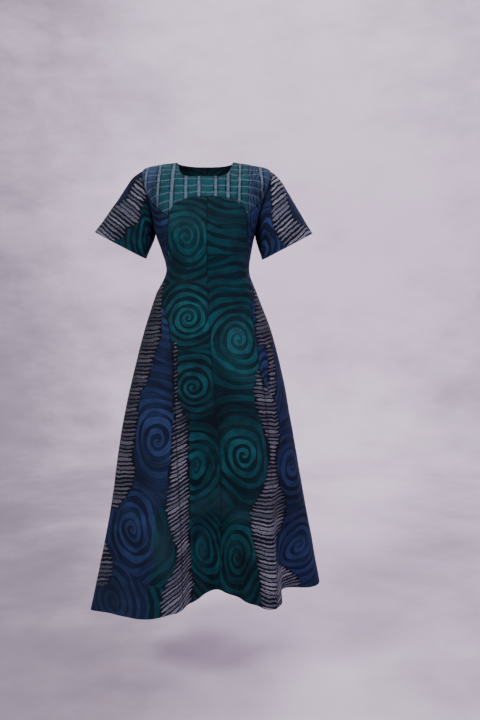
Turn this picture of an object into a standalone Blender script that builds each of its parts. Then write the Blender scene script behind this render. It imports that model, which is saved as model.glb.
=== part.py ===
"""Long princess-seamed A-line gown with a yoke and short flared sleeves, in nine cut pieces.

The body is one smooth surface through level sections, from the neckline to the hem, with the large
folds of the skirt pushed in or out of it. Seams are lines on that surface, and each cut piece is the
stretch between its own seams, given a wall. The sleeves are tubes that start at the armholes.

Units are metres. +Z is up, the front faces -Y, and left and right are those of someone who looks at
the front. The origin is the middle of the neck opening, at the height of the shoulder seams' inner ends.
"""

import math
from collections import namedtuple

import bmesh
import bpy
import numpy as np

CLOTH = 0.0016  # wall of every piece
SEAM_GAP = 0.0003  # between neighbouring pieces along a seam
SLEEVE_EASE = 0.0003  # more gap at the armholes, where the facets of two curved walls face each other

# The body. A place on it is (around, level): around is 0 at the centre front, 1 at the right side,
# -1 at the left side and 2 or -2 at the centre back; level grows from the neckline to the hem.
Section = namedtuple(
    "Section", "level left right front back square dip taper", defaults=[(1.0, 1.0), 0.0]
)
# level: distance down the cloth; left, right: x, y, z of the side points; front, back: y, z of the
# middle points; square: 2 is an ellipse and more is boxier, for the front and the back; dip: how
# fast the height changes away from the side, for the front and the back; taper: how much narrower
# its front is at the bottom than at the top, on each side.
SECTIONS = (
    # neckline, middle of the shoulder, shoulder point
    Section(0.000, (-0.082, 0.0, 0.002), (0.080, 0.0, 0.003),
            (-0.070, -0.046), (0.060, -0.004), (7.0, 2.6), (0.286, 0.8), 0.016),
    Section(0.050, (-0.132, 0.0, -0.005), (0.131, 0.0, -0.006),
            (-0.080, -0.074), (0.080, -0.030), (2.8, 2.6), (1.1, 1.1)),
    Section(0.098, (-0.182, 0.0, -0.022), (0.189, 0.0, -0.024),
            (-0.091, -0.101), (0.094, -0.062), (2.7, 2.6), (1.2, 1.2)),
    # upper and lower armhole, underarm
    Section(0.145, (-0.177, 0.0, -0.076), (0.183, 0.0, -0.079),
            (-0.103, -0.131), (0.103, -0.106), (2.5, 2.4)),
    Section(0.192, (-0.161, 0.0, -0.141), (0.163, 0.0, -0.145),
            (-0.114, -0.168), (0.106, -0.156), (2.4, 2.3)),
    Section(0.235, (-0.146, 0.0, -0.203), (0.143, 0.0, -0.207),
            (-0.121, -0.208), (0.103, -0.207), (2.3, 2.2)),
    # under the bust, waist, below the waist
    Section(0.280, (-0.129, 0.0, -0.252), (0.133, 0.0, -0.256),
            (-0.116, -0.256), (0.094, -0.254), (2.2, 2.2)),
    Section(0.335, (-0.115, 0.0, -0.309), (0.127, 0.0, -0.312),
            (-0.104, -0.311), (0.086, -0.311), (2.2, 2.2)),
    Section(0.405, (-0.146, 0.0, -0.381), (0.150, 0.0, -0.379),
            (-0.112, -0.380), (0.104, -0.380), (2.1, 2.1)),
    # hips
    Section(0.500, (-0.177, -0.003, -0.474), (0.187, 0.002, -0.474),
            (-0.125, -0.474), (0.134, -0.474), (2.1, 2.1)),
    Section(0.620, (-0.209, -0.010, -0.594), (0.220, 0.006, -0.594),
            (-0.135, -0.594), (0.164, -0.594), (2.1, 2.1)),
    # skirt and hem
    Section(0.785, (-0.246, -0.025, -0.762), (0.253, 0.014, -0.760),
            (-0.147, -0.758), (0.197, -0.758), (2.1, 2.1)),
    Section(1.020, (-0.282, -0.052, -1.010), (0.299, 0.030, -1.000),
            (-0.160, -0.995), (0.236, -0.995), (2.1, 2.1)),
    Section(1.290, (-0.340, -0.090, -1.302), (0.350, 0.050, -1.256),
            (-0.166, -1.275), (0.272, -1.268), (2.1, 2.1)),
)
NECK_LEVEL = SECTIONS[0].level
SHOULDER_LEVEL = SECTIONS[2].level
UNDERARM_LEVEL = SECTIONS[5].level
HIP_LEVEL = SECTIONS[9].level
HEM_LEVEL = SECTIONS[-1].level

# The large folds. top, hem: where round the body the fold runs, at its start and at the hem;
# width: half its width at the hem, in quarters of the body; depth: how far out it stands, or in if
# negative; lean: how far it leans over to the right; lift: how far it raises the hem; start: the
# level where it begins.
Fold = namedtuple("Fold", "top hem width depth lean lift start")
FOLDS = (
    # front: left crest, middle trough, right crest, trough behind the right crest
    Fold(-0.40, -0.47, 0.27, 0.058, 0.004, -0.002, 0.520),
    Fold(0.08, 0.08, 0.19, -0.100, 0.000, 0.026, 0.440),
    Fold(0.40, 0.42, 0.12, 0.054, 0.002, 0.004, 0.560),
    Fold(0.62, 0.66, 0.15, -0.056, -0.024, 0.016, 0.640),
    # sides
    Fold(1.12, 1.16, 0.14, -0.034, 0.000, 0.008, 0.660),
    Fold(-1.14, -1.18, 0.15, -0.028, 0.000, 0.006, 0.640),
    # back: crests and troughs
    Fold(1.36, 1.40, 0.14, 0.036, 0.000, -0.002, 0.560),
    Fold(1.62, 1.66, 0.12, -0.052, 0.008, 0.012, 0.600),
    Fold(1.88, 1.90, 0.13, 0.030, 0.000, 0.000, 0.540),
    Fold(-1.88, -1.84, 0.11, -0.044, 0.000, 0.010, 0.620),
    Fold(-1.62, -1.60, 0.14, 0.044, -0.006, -0.002, 0.520),
    Fold(-1.40, -1.38, 0.11, -0.036, 0.000, 0.008, 0.660),
)
FOLD_GROWTH = 1.5  # how late a fold deepens on its way to the hem

# Seams of the body, as x, z of the front seen square on, before the folds.
FRONT_SEAMS = {
    "centre": ((0.008, -0.105), (0.007, -0.210), (0.008, -0.310), (0.013, -0.450), (0.026, -0.645),
               (0.042, -0.800), (0.050, -1.000), (0.046, -1.250)),
    "left": ((-0.099, -0.162), (-0.105, -0.230), (-0.107, -0.310), (-0.099, -0.480), (-0.084, -0.676),
             (-0.074, -0.872), (-0.066, -1.050), (-0.062, -1.260)),
    "right": ((0.118, -0.156), (0.121, -0.230), (0.121, -0.310), (0.134, -0.420), (0.151, -0.549),
              (0.174, -0.690), (0.196, -0.868), (0.201, -1.050), (0.198, -1.250)),
}
ARCH_POWER = 2.3  # the yoke's lower edge: 2 is an ellipse, more is flatter on top
ARCH_SHOULDER = 40.0  # degrees up the arch, where a centre front's side edge turns into its top edge

# Armholes: ovals in (around, level), from the shoulder point to the underarm.
ARMHOLE_FRONT = 0.235  # how far the oval reaches round to the front
ARMHOLE_BACK = 0.190
YOKE_MEETS_ARMHOLE = math.radians(72.0)  # angle down the oval, from the shoulder point

# The sleeves. out, under: x, z of the cuff's or section's outer and under points; front, back: how
# deep it is. along: 0 at the armhole, 1 at the cuff.
SleeveSection = namedtuple("SleeveSection", "along out under front back")
SLEEVES = {
    "sleeve_left": (
        SleeveSection(0.22, (-0.210, -0.044), (-0.1515, -0.219), 0.066, 0.062),
        SleeveSection(0.50, (-0.247, -0.096), (-0.159, -0.238), 0.069, 0.064),
        SleeveSection(0.75, (-0.283, -0.145), (-0.167, -0.256), 0.067, 0.063),
        SleeveSection(1.00, (-0.323, -0.199), (-0.176, -0.276), 0.068, 0.064),
    ),
    "sleeve_right": (
        SleeveSection(0.22, (0.214, -0.046), (0.1475, -0.223), 0.066, 0.062),
        SleeveSection(0.50, (0.246, -0.096), (0.153, -0.242), 0.069, 0.064),
        SleeveSection(0.75, (0.276, -0.146), (0.159, -0.260), 0.067, 0.063),
        SleeveSection(1.00, (0.311, -0.203), (0.166, -0.279), 0.068, 0.064),
    ),
}
# Soft waves of the sleeves. turn: angle round the sleeve from its outer edge, to the front;
# width: half of it, in degrees; depth: out, or in if negative; start: where along it begins.
Wave = namedtuple("Wave", "turn width depth start")
SLEEVE_WAVES = (
    Wave(math.radians(48.0), math.radians(20.0), 0.004, 0.30),
    Wave(math.radians(96.0), math.radians(18.0), -0.006, 0.15),
    Wave(math.radians(138.0), math.radians(16.0), 0.006, 0.20),
    Wave(math.radians(232.0), math.radians(20.0), 0.006, 0.20),
    Wave(math.radians(285.0), math.radians(20.0), -0.005, 0.25),
)

# How finely each stretch is divided
SHOULDER_ROWS = 3
ARMHOLE_ROWS_ABOVE_YOKE_SEAM = 4
ARMHOLE_ROWS_BELOW_YOKE_SEAM = 6
BODICE_ROWS = 9
SKIRT_ROWS = 15
CENTRE_COLUMNS = 8
ARCH_SIDE_STEPS = 3
SIDE_COLUMNS = 8  # also the steps of the seam between a side front and the yoke
BACK_COLUMNS = 13
SLEEVE_ROWS = 7

TEAL = (0.010, 0.090, 0.095)
NAVY = (0.012, 0.022, 0.085)
BATIK_FINISH = {"roughness": 0.72, "metallic": 0.0}
PIECE_COLOURS = {
    "yoke_front": (0.020, 0.110, 0.110),
    "centre_front_left": TEAL,
    "centre_front_right": TEAL,
    "side_front_left": NAVY,
    "side_front_right": NAVY,
    "back_left": TEAL,
    "back_right": TEAL,
    "sleeve_left": NAVY,
    "sleeve_right": NAVY,
}

QUARTER_STEPS = 160  # points kept along a quarter of a section
NUDGE = 0.002  # small step in around or level, for slopes
FIRST_STEP = 0.01  # small step along a sleeve, for the way that it leaves the armhole
SEARCH_ROUNDS = 30  # when a front seam's x and z are looked up on the body
SEARCH_SHARE = 0.8  # of the error put right in each round
COLUMN_CROWDING = 0.55  # how much closer the columns stand next to a seam: 0 is even
SLEEVE_CROWDING = 0.5  # the same for the rings of a sleeve, next to its armhole
SHARP_EDGE = math.radians(40.0)  # steeper edges are shaded sharp


def unit(vectors):
    return vectors / np.linalg.norm(vectors, axis=-1, keepdims=True)


def square_to(vectors, along):
    """The vectors without their share along another direction, at length 1."""
    return unit(vectors - along * (vectors * along).sum(axis=-1, keepdims=True))


def smooth_through(knots, values, at):
    """Values on the smooth curve through one value, or array of values, at each knot."""
    knots = np.asarray(knots, float)
    values = np.asarray(values, float)
    at = np.clip(at, knots[0], knots[-1])
    steps = np.diff(knots)
    slopes = np.diff(values, axis=0) / steps.reshape(-1, *([1] * (values.ndim - 1)))
    tangents = np.empty_like(values)
    tangents[0] = slopes[0]
    tangents[-1] = slopes[-1]
    for i in range(1, len(knots) - 1):
        tangents[i] = (steps[i] * slopes[i - 1] + steps[i - 1] * slopes[i]) / (steps[i] + steps[i - 1])
    index = np.clip(np.searchsorted(knots, at, side="right") - 1, 0, len(knots) - 2)
    span = steps[index]
    t = (at - knots[index]) / span
    if values.ndim == 3:  # a value for each place: pick each place's own column
        place = np.arange(len(at))
        below, above = values[index, place], values[index + 1, place]
        leave, arrive = tangents[index, place], tangents[index + 1, place]
    else:
        below, above = values[index], values[index + 1]
        leave, arrive = tangents[index], tangents[index + 1]
    t = t.reshape(-1, *([1] * (below.ndim - 1)))
    span = span.reshape(t.shape)
    return (
        (2 * t**3 - 3 * t**2 + 1) * below
        + (t**3 - 2 * t**2 + t) * span * leave
        + (3 * t**2 - 2 * t**3) * above
        + (t**3 - t**2) * span * arrive
    )


def quarter(side, middle, square, dip, taper=0.0):
    """Evenly spaced points of a quarter section, from its middle point to its side point."""
    angle = np.linspace(0.0, math.pi / 2, 8 * QUARTER_STEPS)
    across = np.sin(angle) ** (2.0 / square)
    inward = np.cos(angle) ** (2.0 / square)
    half_width = side[0] - math.copysign(taper, side[0]) * inward
    points = np.stack(
        [
            half_width * across,
            side[1] + (middle[0] - side[1]) * inward,
            side[2] + (middle[1] - side[2]) * np.cos(angle) ** dip,
        ],
        axis=1,
    )
    run = np.concatenate([[0.0], np.cumsum(np.linalg.norm(np.diff(points, axis=0), axis=1))])
    even = np.linspace(0.0, run[-1], QUARTER_STEPS + 1)
    return np.stack([np.interp(even, run, points[:, k]) for k in range(3)], axis=1)


def ring(section):
    """The whole section, from the centre back round the left side, the front and the right side."""
    front_left = quarter(section.left, section.front, section.square[0], section.dip[0], section.taper)
    front_right = quarter(section.right, section.front, section.square[0], section.dip[0], section.taper)
    back_left = quarter(section.left, section.back, section.square[1], section.dip[1])
    back_right = quarter(section.right, section.back, section.square[1], section.dip[1])
    return np.concatenate([back_left[:-1], front_left[::-1][:-1], front_right[:-1], back_right[::-1]])


RINGS = np.array([ring(section) for section in SECTIONS])
LEVELS = [section.level for section in SECTIONS]


def body_without_folds(around, level):
    around = (np.asarray(around, float) + 2.0) % 4.0
    column = np.clip(around * QUARTER_STEPS, 0, 4 * QUARTER_STEPS - 1e-9)
    first = column.astype(int)
    part = (column - first)[None, :, None]
    columns = RINGS[:, first] * (1 - part) + RINGS[:, first + 1] * part
    return smooth_through(LEVELS, columns, np.asarray(level, float))


def body(around, level):
    """Points of the body's surface, folds included, for arrays of around and level."""
    around = np.asarray(around, float)
    level = np.asarray(level, float)
    points = body_without_folds(around, level)
    along = body_without_folds(around + NUDGE, level) - body_without_folds(around - NUDGE, level)
    along[:, 2] = 0.0
    along = unit(along)
    outward = np.stack([along[:, 1], -along[:, 0], np.zeros(len(along))], axis=1)
    for fold in FOLDS:
        down = np.clip((level - fold.start) / (HEM_LEVEL - fold.start), 0.0, 1.0)
        place = fold.top + (fold.hem - fold.top) * down
        aside = (around - place + 2.0) % 4.0 - 2.0
        shape = np.exp(-((aside / fold.width) ** 2)) * down**FOLD_GROWTH
        points = points + outward * (fold.depth * shape)[:, None] + along * (fold.lean * shape)[:, None]
        points[:, 2] += fold.lift * shape
    return points


def body_normals(around, level):
    """Outward directions, shared by the pieces on both sides of a seam."""
    along = body(around + NUDGE, level) - body(around - NUDGE, level)
    down = body(around, level + NUDGE) - body(around, level - NUDGE)
    return unit(np.cross(down, along))


def place_on_front(x, z):
    """The (around, level) whose point has this x and z, on the front without folds."""
    across = np.linspace(-1.0, 1.0, 2 * QUARTER_STEPS + 1)
    level = -z
    for _ in range(SEARCH_ROUNDS):
        line = body_without_folds(across, np.full(len(across), level))
        height = np.interp(x, line[:, 0], line[:, 2])
        level = float(np.clip(level + SEARCH_SHARE * (height - z), 0.0, HEM_LEVEL))
    return float(np.interp(x, line[:, 0], across)), level


def spread(first, last, count, crowding=0.0):
    """count + 1 numbers from first to last, closer together near the first if crowding is over 0."""
    share = np.linspace(0.0, 1.0, count + 1)
    return first + (last - first) * ((1 - crowding) * share + crowding * share**2)


def seam_line(name, levels):
    """Places of a front seam at these levels."""
    places = np.array([place_on_front(x, z) for x, z in FRONT_SEAMS[name]])
    around = smooth_through(places[:, 1], places[:, 0], levels)
    return np.stack([around, levels], axis=1)


def seam_top(name):
    return place_on_front(*FRONT_SEAMS[name][0])


def armhole(side, angles):
    """Places of an armhole: side is 1 or -1, and the angle is 0 at the shoulder point, 180 degrees at
    the underarm, and past that up the back."""
    middle = (SHOULDER_LEVEL + UNDERARM_LEVEL) / 2
    half = (UNDERARM_LEVEL - SHOULDER_LEVEL) / 2
    reach = np.where(np.sin(angles) > 0, ARMHOLE_FRONT, ARMHOLE_BACK)
    around = side * (1.0 - reach * np.sin(angles))
    return np.stack([around, middle - half * np.cos(angles)], axis=1)


def arch(side, start, end, count):
    """The yoke's lower edge. Angle 0 is its end at the side's princess seam, 90 degrees its top."""
    end_x, end_z = FRONT_SEAMS[side][0]
    top_x, top_z = FRONT_SEAMS["centre"][0]
    places = []
    for angle in np.radians(spread(start, end, count)):
        x = end_x + (top_x - end_x) * (1.0 - max(math.cos(angle), 0.0) ** (2.0 / ARCH_POWER))
        z = end_z + (top_z - end_z) * math.sin(angle) ** (2.0 / ARCH_POWER)
        places.append(place_on_front(x, z))
    return np.array(places)


def arch_side(side):
    return arch(side, 0.0, ARCH_SHOULDER, ARCH_SIDE_STEPS)


def arch_top(side):
    return arch(side, ARCH_SHOULDER, 90.0, CENTRE_COLUMNS)


def joined(*lines):
    """Lines end to end, without the points that they share."""
    return np.concatenate([lines[0]] + [line[1:] for line in lines[1:]])


def eased(count):
    """0 to 1 in count steps, closer together at both ends, next to the seams."""
    even = np.linspace(0.0, 1.0, count + 1)
    crowded = (1.0 - np.cos(math.pi * even)) / 2
    return even + COLUMN_CROWDING * (crowded - even)


def fill(top, bottom, left, right):
    """A net of places between four edges. top and bottom run left to right, left and right run down."""
    across = eased(len(top) - 1)[None, :, None]
    levels = left[:, 1] + right[:, 1]
    down = ((levels - levels[0]) / (levels[-1] - levels[0]))[:, None, None]
    sides = left[:, None, :] * (1 - across) + right[:, None, :] * across
    ends = top[None, :, :] * (1 - down) + bottom[None, :, :] * down
    corners = (
        (top[0] * (1 - down) + bottom[0] * down) * (1 - across)
        + (top[-1] * (1 - down) + bottom[-1] * down) * across
    )
    return sides + ends - corners


def between(start, end, count):
    """Places from one to the other, spaced as the columns of a piece are."""
    share = eased(count)[:, None]
    return np.asarray(start) * (1 - share) + np.asarray(end) * share


def drawn_in(net, normals, amount):
    """The net of points with its four edges moved inwards by the amount, along the surface."""
    down = unit(np.gradient(net, axis=0))
    right = unit(np.gradient(net, axis=1))
    from_side = unit(np.cross(normals, down))
    from_top = unit(np.cross(right, normals))
    top, bottom = from_top[0], -from_top[-1]
    left, right = from_side[:, 0], -from_side[:, -1]
    move = np.zeros_like(net)
    move[0], move[-1], move[:, 0], move[:, -1] = top, bottom, left, right
    corners = ((0, 0, top, left), (0, -1, top, right), (-1, 0, bottom, left), (-1, -1, bottom, right))
    for row, column, along_row, along_column in corners:
        one, other = along_row[column], along_column[row]
        move[row, column] = (one + other) / (1.0 + one @ other)
    return net + amount * move


def finish_for(name):
    material = bpy.data.materials.new(name + "_cloth")
    material.use_nodes = True
    shader = material.node_tree.nodes["Principled BSDF"]
    shader.inputs["Base Color"].default_value = (*PIECE_COLOURS[name], 1.0)
    shader.inputs["Roughness"].default_value = BATIK_FINISH["roughness"]
    shader.inputs["Metallic"].default_value = BATIK_FINISH["metallic"]
    material.diffuse_color = (*PIECE_COLOURS[name], 1.0)
    return material


def borders(rows, columns, tube):
    """The edges of a net, as rows and columns in the order that keeps the net on their left."""
    if tube:
        cuff = [(rows - 1, column) for column in range(columns)]
        head = [(0, column) for column in reversed(range(columns))]
        return [cuff, head]
    down = [(row, 0) for row in range(rows - 1)]
    right = [(rows - 1, column) for column in range(columns - 1)]
    up = [(row, columns - 1) for row in range(rows - 1, 0, -1)]
    back = [(0, column) for column in range(columns - 1, 0, -1)]
    return [down + right + up + back]


def cloth_piece(name, net, normals, collection, tube=False):
    """An object of the net of points, rows from the top down and columns to the right, with a wall.

    Both skins are set square to the surface that neighbours share, which keeps the edges on the two
    sides of a seam parallel; a wall made from each piece alone would tilt them into each other.
    """
    rows, columns = net.shape[:2]
    mesh = bmesh.new()
    outer, inner = (
        [[mesh.verts.new(point) for point in row] for row in net + way * normals * CLOTH / 2]
        for way in (1, -1)
    )
    for row in range(rows - 1):
        for column in range(columns if tube else columns - 1):
            after = (column + 1) % columns
            corners = ((row, column), (row + 1, column), (row + 1, after), (row, after))
            mesh.faces.new([outer[r][c] for r, c in corners])
            mesh.faces.new([inner[r][c] for r, c in reversed(corners)])
    for border in borders(rows, columns, tube):
        for (r, c), (next_r, next_c) in zip(border, border[1:] + border[:1]):
            mesh.faces.new((outer[next_r][next_c], outer[r][c], inner[r][c], inner[next_r][next_c]))
    data = bpy.data.meshes.new(name)
    mesh.to_mesh(data)
    mesh.free()
    data.shade_smooth()
    data.set_sharp_from_angle(angle=SHARP_EDGE)
    data.materials.append(finish_for(name))
    piece = bpy.data.objects.new(name, data)
    collection.objects.link(piece)
    return piece


def body_piece(name, places, collection):
    around, level = places.reshape(-1, 2).T
    net = body(around, level).reshape(*places.shape[:2], 3)
    normals = body_normals(around, level).reshape(net.shape)
    return cloth_piece(name, drawn_in(net, normals, SEAM_GAP / 2), normals, collection)


# Stretches that neighbouring pieces share
SHOULDER_STEPS = spread(NECK_LEVEL, SHOULDER_LEVEL, SHOULDER_ROWS)
ABOVE_YOKE_SEAM = spread(0.0, YOKE_MEETS_ARMHOLE, ARMHOLE_ROWS_ABOVE_YOKE_SEAM)
BELOW_YOKE_SEAM = spread(YOKE_MEETS_ARMHOLE, math.pi, ARMHOLE_ROWS_BELOW_YOKE_SEAM)
SIDE_SEAM_LEVELS = joined(
    spread(UNDERARM_LEVEL, HIP_LEVEL, BODICE_ROWS),
    spread(HIP_LEVEL, HEM_LEVEL, SKIRT_ROWS),
)
LONG_ROWS = ARMHOLE_ROWS_BELOW_YOKE_SEAM + BODICE_ROWS + SKIRT_ROWS


def levels_from(top, rows):
    """Levels of a long front seam, from its top to the hem: a few more rows than the side seam has."""
    below = SIDE_SEAM_LEVELS[2:]
    above = spread(top, below[0], rows + 1 - len(below))
    return joined(above, below)


def side_seam(side):
    return np.stack([np.full(len(SIDE_SEAM_LEVELS), float(side)), SIDE_SEAM_LEVELS], axis=1)


def shoulder_seam(side):
    return np.stack([np.full(len(SHOULDER_STEPS), float(side)), SHOULDER_STEPS], axis=1)


def yoke_places():
    """From shoulder to shoulder: the neckline above, the arch below, and a seam down to each side of
    the arch from the armhole."""
    sides = {}
    for name, side in (("left", -1), ("right", 1)):
        corner = armhole(side, ABOVE_YOKE_SEAM)
        seam = between(corner[-1], seam_top(name), SIDE_COLUMNS)
        sides[name] = joined(shoulder_seam(side), corner, seam)
    halves = [joined(arch_side(name), arch_top(name)) for name in ("left", "right")]
    arch_edge = joined(halves[0], halves[1][::-1])
    neckline = between((-1.0, NECK_LEVEL), (1.0, NECK_LEVEL), len(arch_edge) - 1)
    return fill(neckline, arch_edge, sides["left"], sides["right"])


def centre_places(name):
    """Half of the centre front, from its princess seam to the centre seam."""
    princess = seam_line(name, levels_from(seam_top(name)[1], LONG_ROWS))
    outer = joined(arch_side(name)[::-1], princess)
    middle = seam_line("centre", levels_from(seam_top("centre")[1], len(outer) - 1))
    top = arch_top(name)
    bottom = between(outer[-1], middle[-1], CENTRE_COLUMNS)
    if name == "left":
        return fill(top, bottom, outer, middle)
    return fill(top[::-1], bottom[::-1], middle, outer)


def side_places(name, side):
    """From the princess seam to the side seam: the yoke's seam above, then the armhole's front."""
    inner = seam_line(name, levels_from(seam_top(name)[1], LONG_ROWS))
    armhole_edge = armhole(side, BELOW_YOKE_SEAM)
    outer = joined(armhole_edge, side_seam(side))
    top = between(inner[0], outer[0], SIDE_COLUMNS)
    bottom = between(inner[-1], outer[-1], SIDE_COLUMNS)
    if side == 1:
        return fill(top, bottom, inner, outer)
    return fill(top[::-1], bottom[::-1], outer, inner)


def back_places(side):
    """From the centre back seam to the shoulder seam, the armhole's back and the side seam."""
    angles = 2 * math.pi - joined(ABOVE_YOKE_SEAM, BELOW_YOKE_SEAM)
    outer = joined(shoulder_seam(side), armhole(side, angles), side_seam(side))
    middle = np.stack([np.full(len(outer), 2.0 * side), outer[:, 1]], axis=1)
    top = between(middle[0], outer[0], BACK_COLUMNS)
    bottom = between(middle[-1], outer[-1], BACK_COLUMNS)
    if side == 1:
        return fill(top[::-1], bottom[::-1], outer, middle)
    return fill(top, bottom, middle, outer)


def sleeve_ring(section, angles):
    """A section of a sleeve: angle 0 is its outer edge, 90 degrees the front, 180 the underarm."""
    out, under = np.array(section.out), np.array(section.under)
    middle, half = (out + under) / 2, (out - under) / 2
    deep = np.where(np.sin(angles) > 0, section.front, section.back)
    return np.stack(
        [
            middle[0] + half[0] * np.cos(angles),
            -deep * np.sin(angles),
            middle[1] + half[1] * np.cos(angles),
        ],
        axis=1,
    )


def set_back(side, angles, edge, sleeve_way):
    """How far down the sleeve its wall starts, so that it clears the body's wall by the seam gap."""
    places = armhole(side, angles)
    centre = np.array([side, (SHOULDER_LEVEL + UNDERARM_LEVEL) / 2])
    away = places + NUDGE * unit(places - centre)
    along = unit(np.roll(edge, -1, axis=0) - np.roll(edge, 1, axis=0))
    body_way = square_to(body(away[:, 0], away[:, 1]) - edge, along)
    sleeve_way = square_to(sleeve_way, along)
    cosine = (body_way * sleeve_way).sum(axis=1)
    sine = np.sqrt(1.0 - cosine**2)
    half = CLOTH / 2
    clear = SEAM_GAP + SLEEVE_EASE
    turned_in = (half * (1.0 + cosine) + clear) / sine
    turned_out = clear + half * sine
    return np.where(cosine > 0, turned_in, turned_out)


def sleeve_net(name, side):
    front = joined(ABOVE_YOKE_SEAM, BELOW_YOKE_SEAM)
    angles = np.concatenate([front, 2 * math.pi - front[::-1][1:-1]])
    places = armhole(side, angles)
    edge = body(places[:, 0], places[:, 1])
    knots = [0.0] + [section.along for section in SLEEVES[name]]
    rings = np.array([edge] + [sleeve_ring(section, angles) for section in SLEEVES[name]])
    step = np.full(len(angles), FIRST_STEP)
    way = smooth_through(knots, rings, step) - edge
    start = set_back(side, angles, edge, way) / np.linalg.norm(way, axis=1) * step
    net = []
    for share in spread(0.0, 1.0, SLEEVE_ROWS, SLEEVE_CROWDING):
        along = start + (1.0 - start) * share
        points = smooth_through(knots, rings, along)
        middle = points.mean(axis=0)
        for wave in SLEEVE_WAVES:
            aside = (angles - wave.turn + math.pi) % (2 * math.pi) - math.pi
            grown = np.clip((along - wave.start) / (1.0 - wave.start), 0.0, 1.0)
            push = wave.depth * grown * np.exp(-((aside / wave.width) ** 2))
            points = points + unit(points - middle) * push[:, None]
        net.append(points if side == -1 else points[::-1])
    net = np.array(net)
    down = np.gradient(net, axis=0)
    along = np.roll(net, -1, axis=1) - np.roll(net, 1, axis=1)
    return net, unit(np.cross(down, along))


def main():
    for item in list(bpy.data.objects):
        bpy.data.objects.remove(item, do_unlink=True)
    gown = bpy.data.collections.new("a_line_gown")
    bpy.context.scene.collection.children.link(gown)
    body_piece("yoke_front", yoke_places(), gown)
    for name, side in (("left", -1), ("right", 1)):
        body_piece("centre_front_" + name, centre_places(name), gown)
        body_piece("side_front_" + name, side_places(name, side), gown)
        body_piece("back_" + name, back_places(side), gown)
        sleeve = "sleeve_" + name
        cloth_piece(sleeve, *sleeve_net(sleeve, side), gown, tube=True)


main()
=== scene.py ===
import math
from collections import namedtuple

import bpy
import numpy as np
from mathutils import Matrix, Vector, noise


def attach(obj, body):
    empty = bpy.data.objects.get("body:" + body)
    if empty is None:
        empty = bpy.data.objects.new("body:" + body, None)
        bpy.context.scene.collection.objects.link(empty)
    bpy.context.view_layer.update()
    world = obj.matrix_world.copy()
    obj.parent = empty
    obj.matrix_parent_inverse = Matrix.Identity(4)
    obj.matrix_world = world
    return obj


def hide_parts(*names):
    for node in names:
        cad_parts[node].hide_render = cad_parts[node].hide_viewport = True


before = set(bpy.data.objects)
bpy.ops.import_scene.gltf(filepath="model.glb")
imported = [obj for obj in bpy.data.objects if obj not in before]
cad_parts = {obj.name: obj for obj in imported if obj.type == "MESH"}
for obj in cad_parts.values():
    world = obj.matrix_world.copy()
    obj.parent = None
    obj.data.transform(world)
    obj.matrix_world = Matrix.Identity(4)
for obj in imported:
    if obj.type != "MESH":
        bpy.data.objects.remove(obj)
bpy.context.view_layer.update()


def metres(value):
    return tuple(map(metres, value)) if isinstance(value, tuple) else value / 1000


# Rows typed in millimetres, as metres. The columns named in plain aren't lengths.
def rowsOf(kind, plain, *rows):
    plain = plain.split()
    return [
        kind(*(v if name in plain else metres(v) for name, v in zip(kind._fields, row))) for row in rows
    ]


# Short ways to build shader nodes. Each finds its tree from the sockets that it is given.
def treeOf(values):
    return next(value.id_data for value in values if isinstance(value, bpy.types.NodeSocket))


def setSocket(socket, value):
    if isinstance(value, bpy.types.NodeSocket):
        socket.id_data.links.new(value, socket)
    else:
        socket.default_value = value


def setSockets(sockets, values):
    for name, value in values.items():
        setSocket(sockets[name], value)


def addNode(kind, inputs, tree=None, **settings):
    item = (tree or treeOf(inputs.values())).nodes.new(kind)
    for name, value in settings.items():
        setattr(item, name, value)
    setSockets(item.inputs, inputs)
    return item


def calc(operation, *values, clamp=False):
    inputs = dict(enumerate(values))
    return addNode("ShaderNodeMath", inputs, operation=operation, use_clamp=clamp).outputs[0]


def plus(first, second):
    return calc("ADD", first, second)


def minus(first, second):
    return calc("SUBTRACT", first, second)


def times(first, second):
    return calc("MULTIPLY", first, second)


def over(first, second):
    return calc("DIVIDE", first, second)


def greater(first, second):
    return calc("MAXIMUM", first, second)


def apart(first, second):
    return calc("ABSOLUTE", minus(first, second))


# How far a count is from the middle of its whole step.
def fromMiddle(count):
    return apart(calc("FRACT", count), 0.5)


# A noise made to swing about start.
def swing(value, amount, start=0.0):
    return calc("MULTIPLY_ADD", minus(value, 0.5), amount, start)


def calcVector(operation, *values):
    item = addNode("ShaderNodeVectorMath", dict(enumerate(values)), operation=operation)
    return item.outputs["Value" if operation == "LENGTH" else "Vector"]


def mixColours(share, first, second):
    inputs = {0: share, 6: first, 7: second}
    return addNode("ShaderNodeMix", inputs, data_type="RGBA").outputs[2]


def laidOn(colour, dye, mask, strength):
    return mixColours(times(mask, strength), colour, dye)


def ramp(value, low, high, lowTo=0.0, highTo=1.0):
    inputs = {"Value": value, "From Min": low, "From Max": high, "To Min": lowTo, "To Max": highTo}
    return addNode("ShaderNodeMapRange", inputs, interpolation_type="SMOOTHSTEP").outputs[0]


def noiseAt(place, scale, detail=2.0, rough=0.5, output=0):
    inputs = {"Vector": place, "Scale": scale, "Detail": detail, "Roughness": rough}
    return addNode("ShaderNodeTexNoise", inputs).outputs[output]


def scaled(place, size):
    return calcVector("MULTIPLY", place, size)


def combined(x, y, z=0.0):
    return addNode("ShaderNodeCombineXYZ", {0: x, 1: y, 2: z}).outputs[0]


def parts(vector):
    return addNode("ShaderNodeSeparateXYZ", {0: vector}).outputs


def newGroup(name, vectors, values=()):
    group = bpy.data.node_groups.new(name, "ShaderNodeTree")
    for kind, labels in (("NodeSocketVector", vectors), ("NodeSocketFloat", values)):
        for label in labels:
            group.interface.new_socket(label, in_out="INPUT", socket_type=kind)
    return group.nodes.new("NodeGroupInput").outputs


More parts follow.
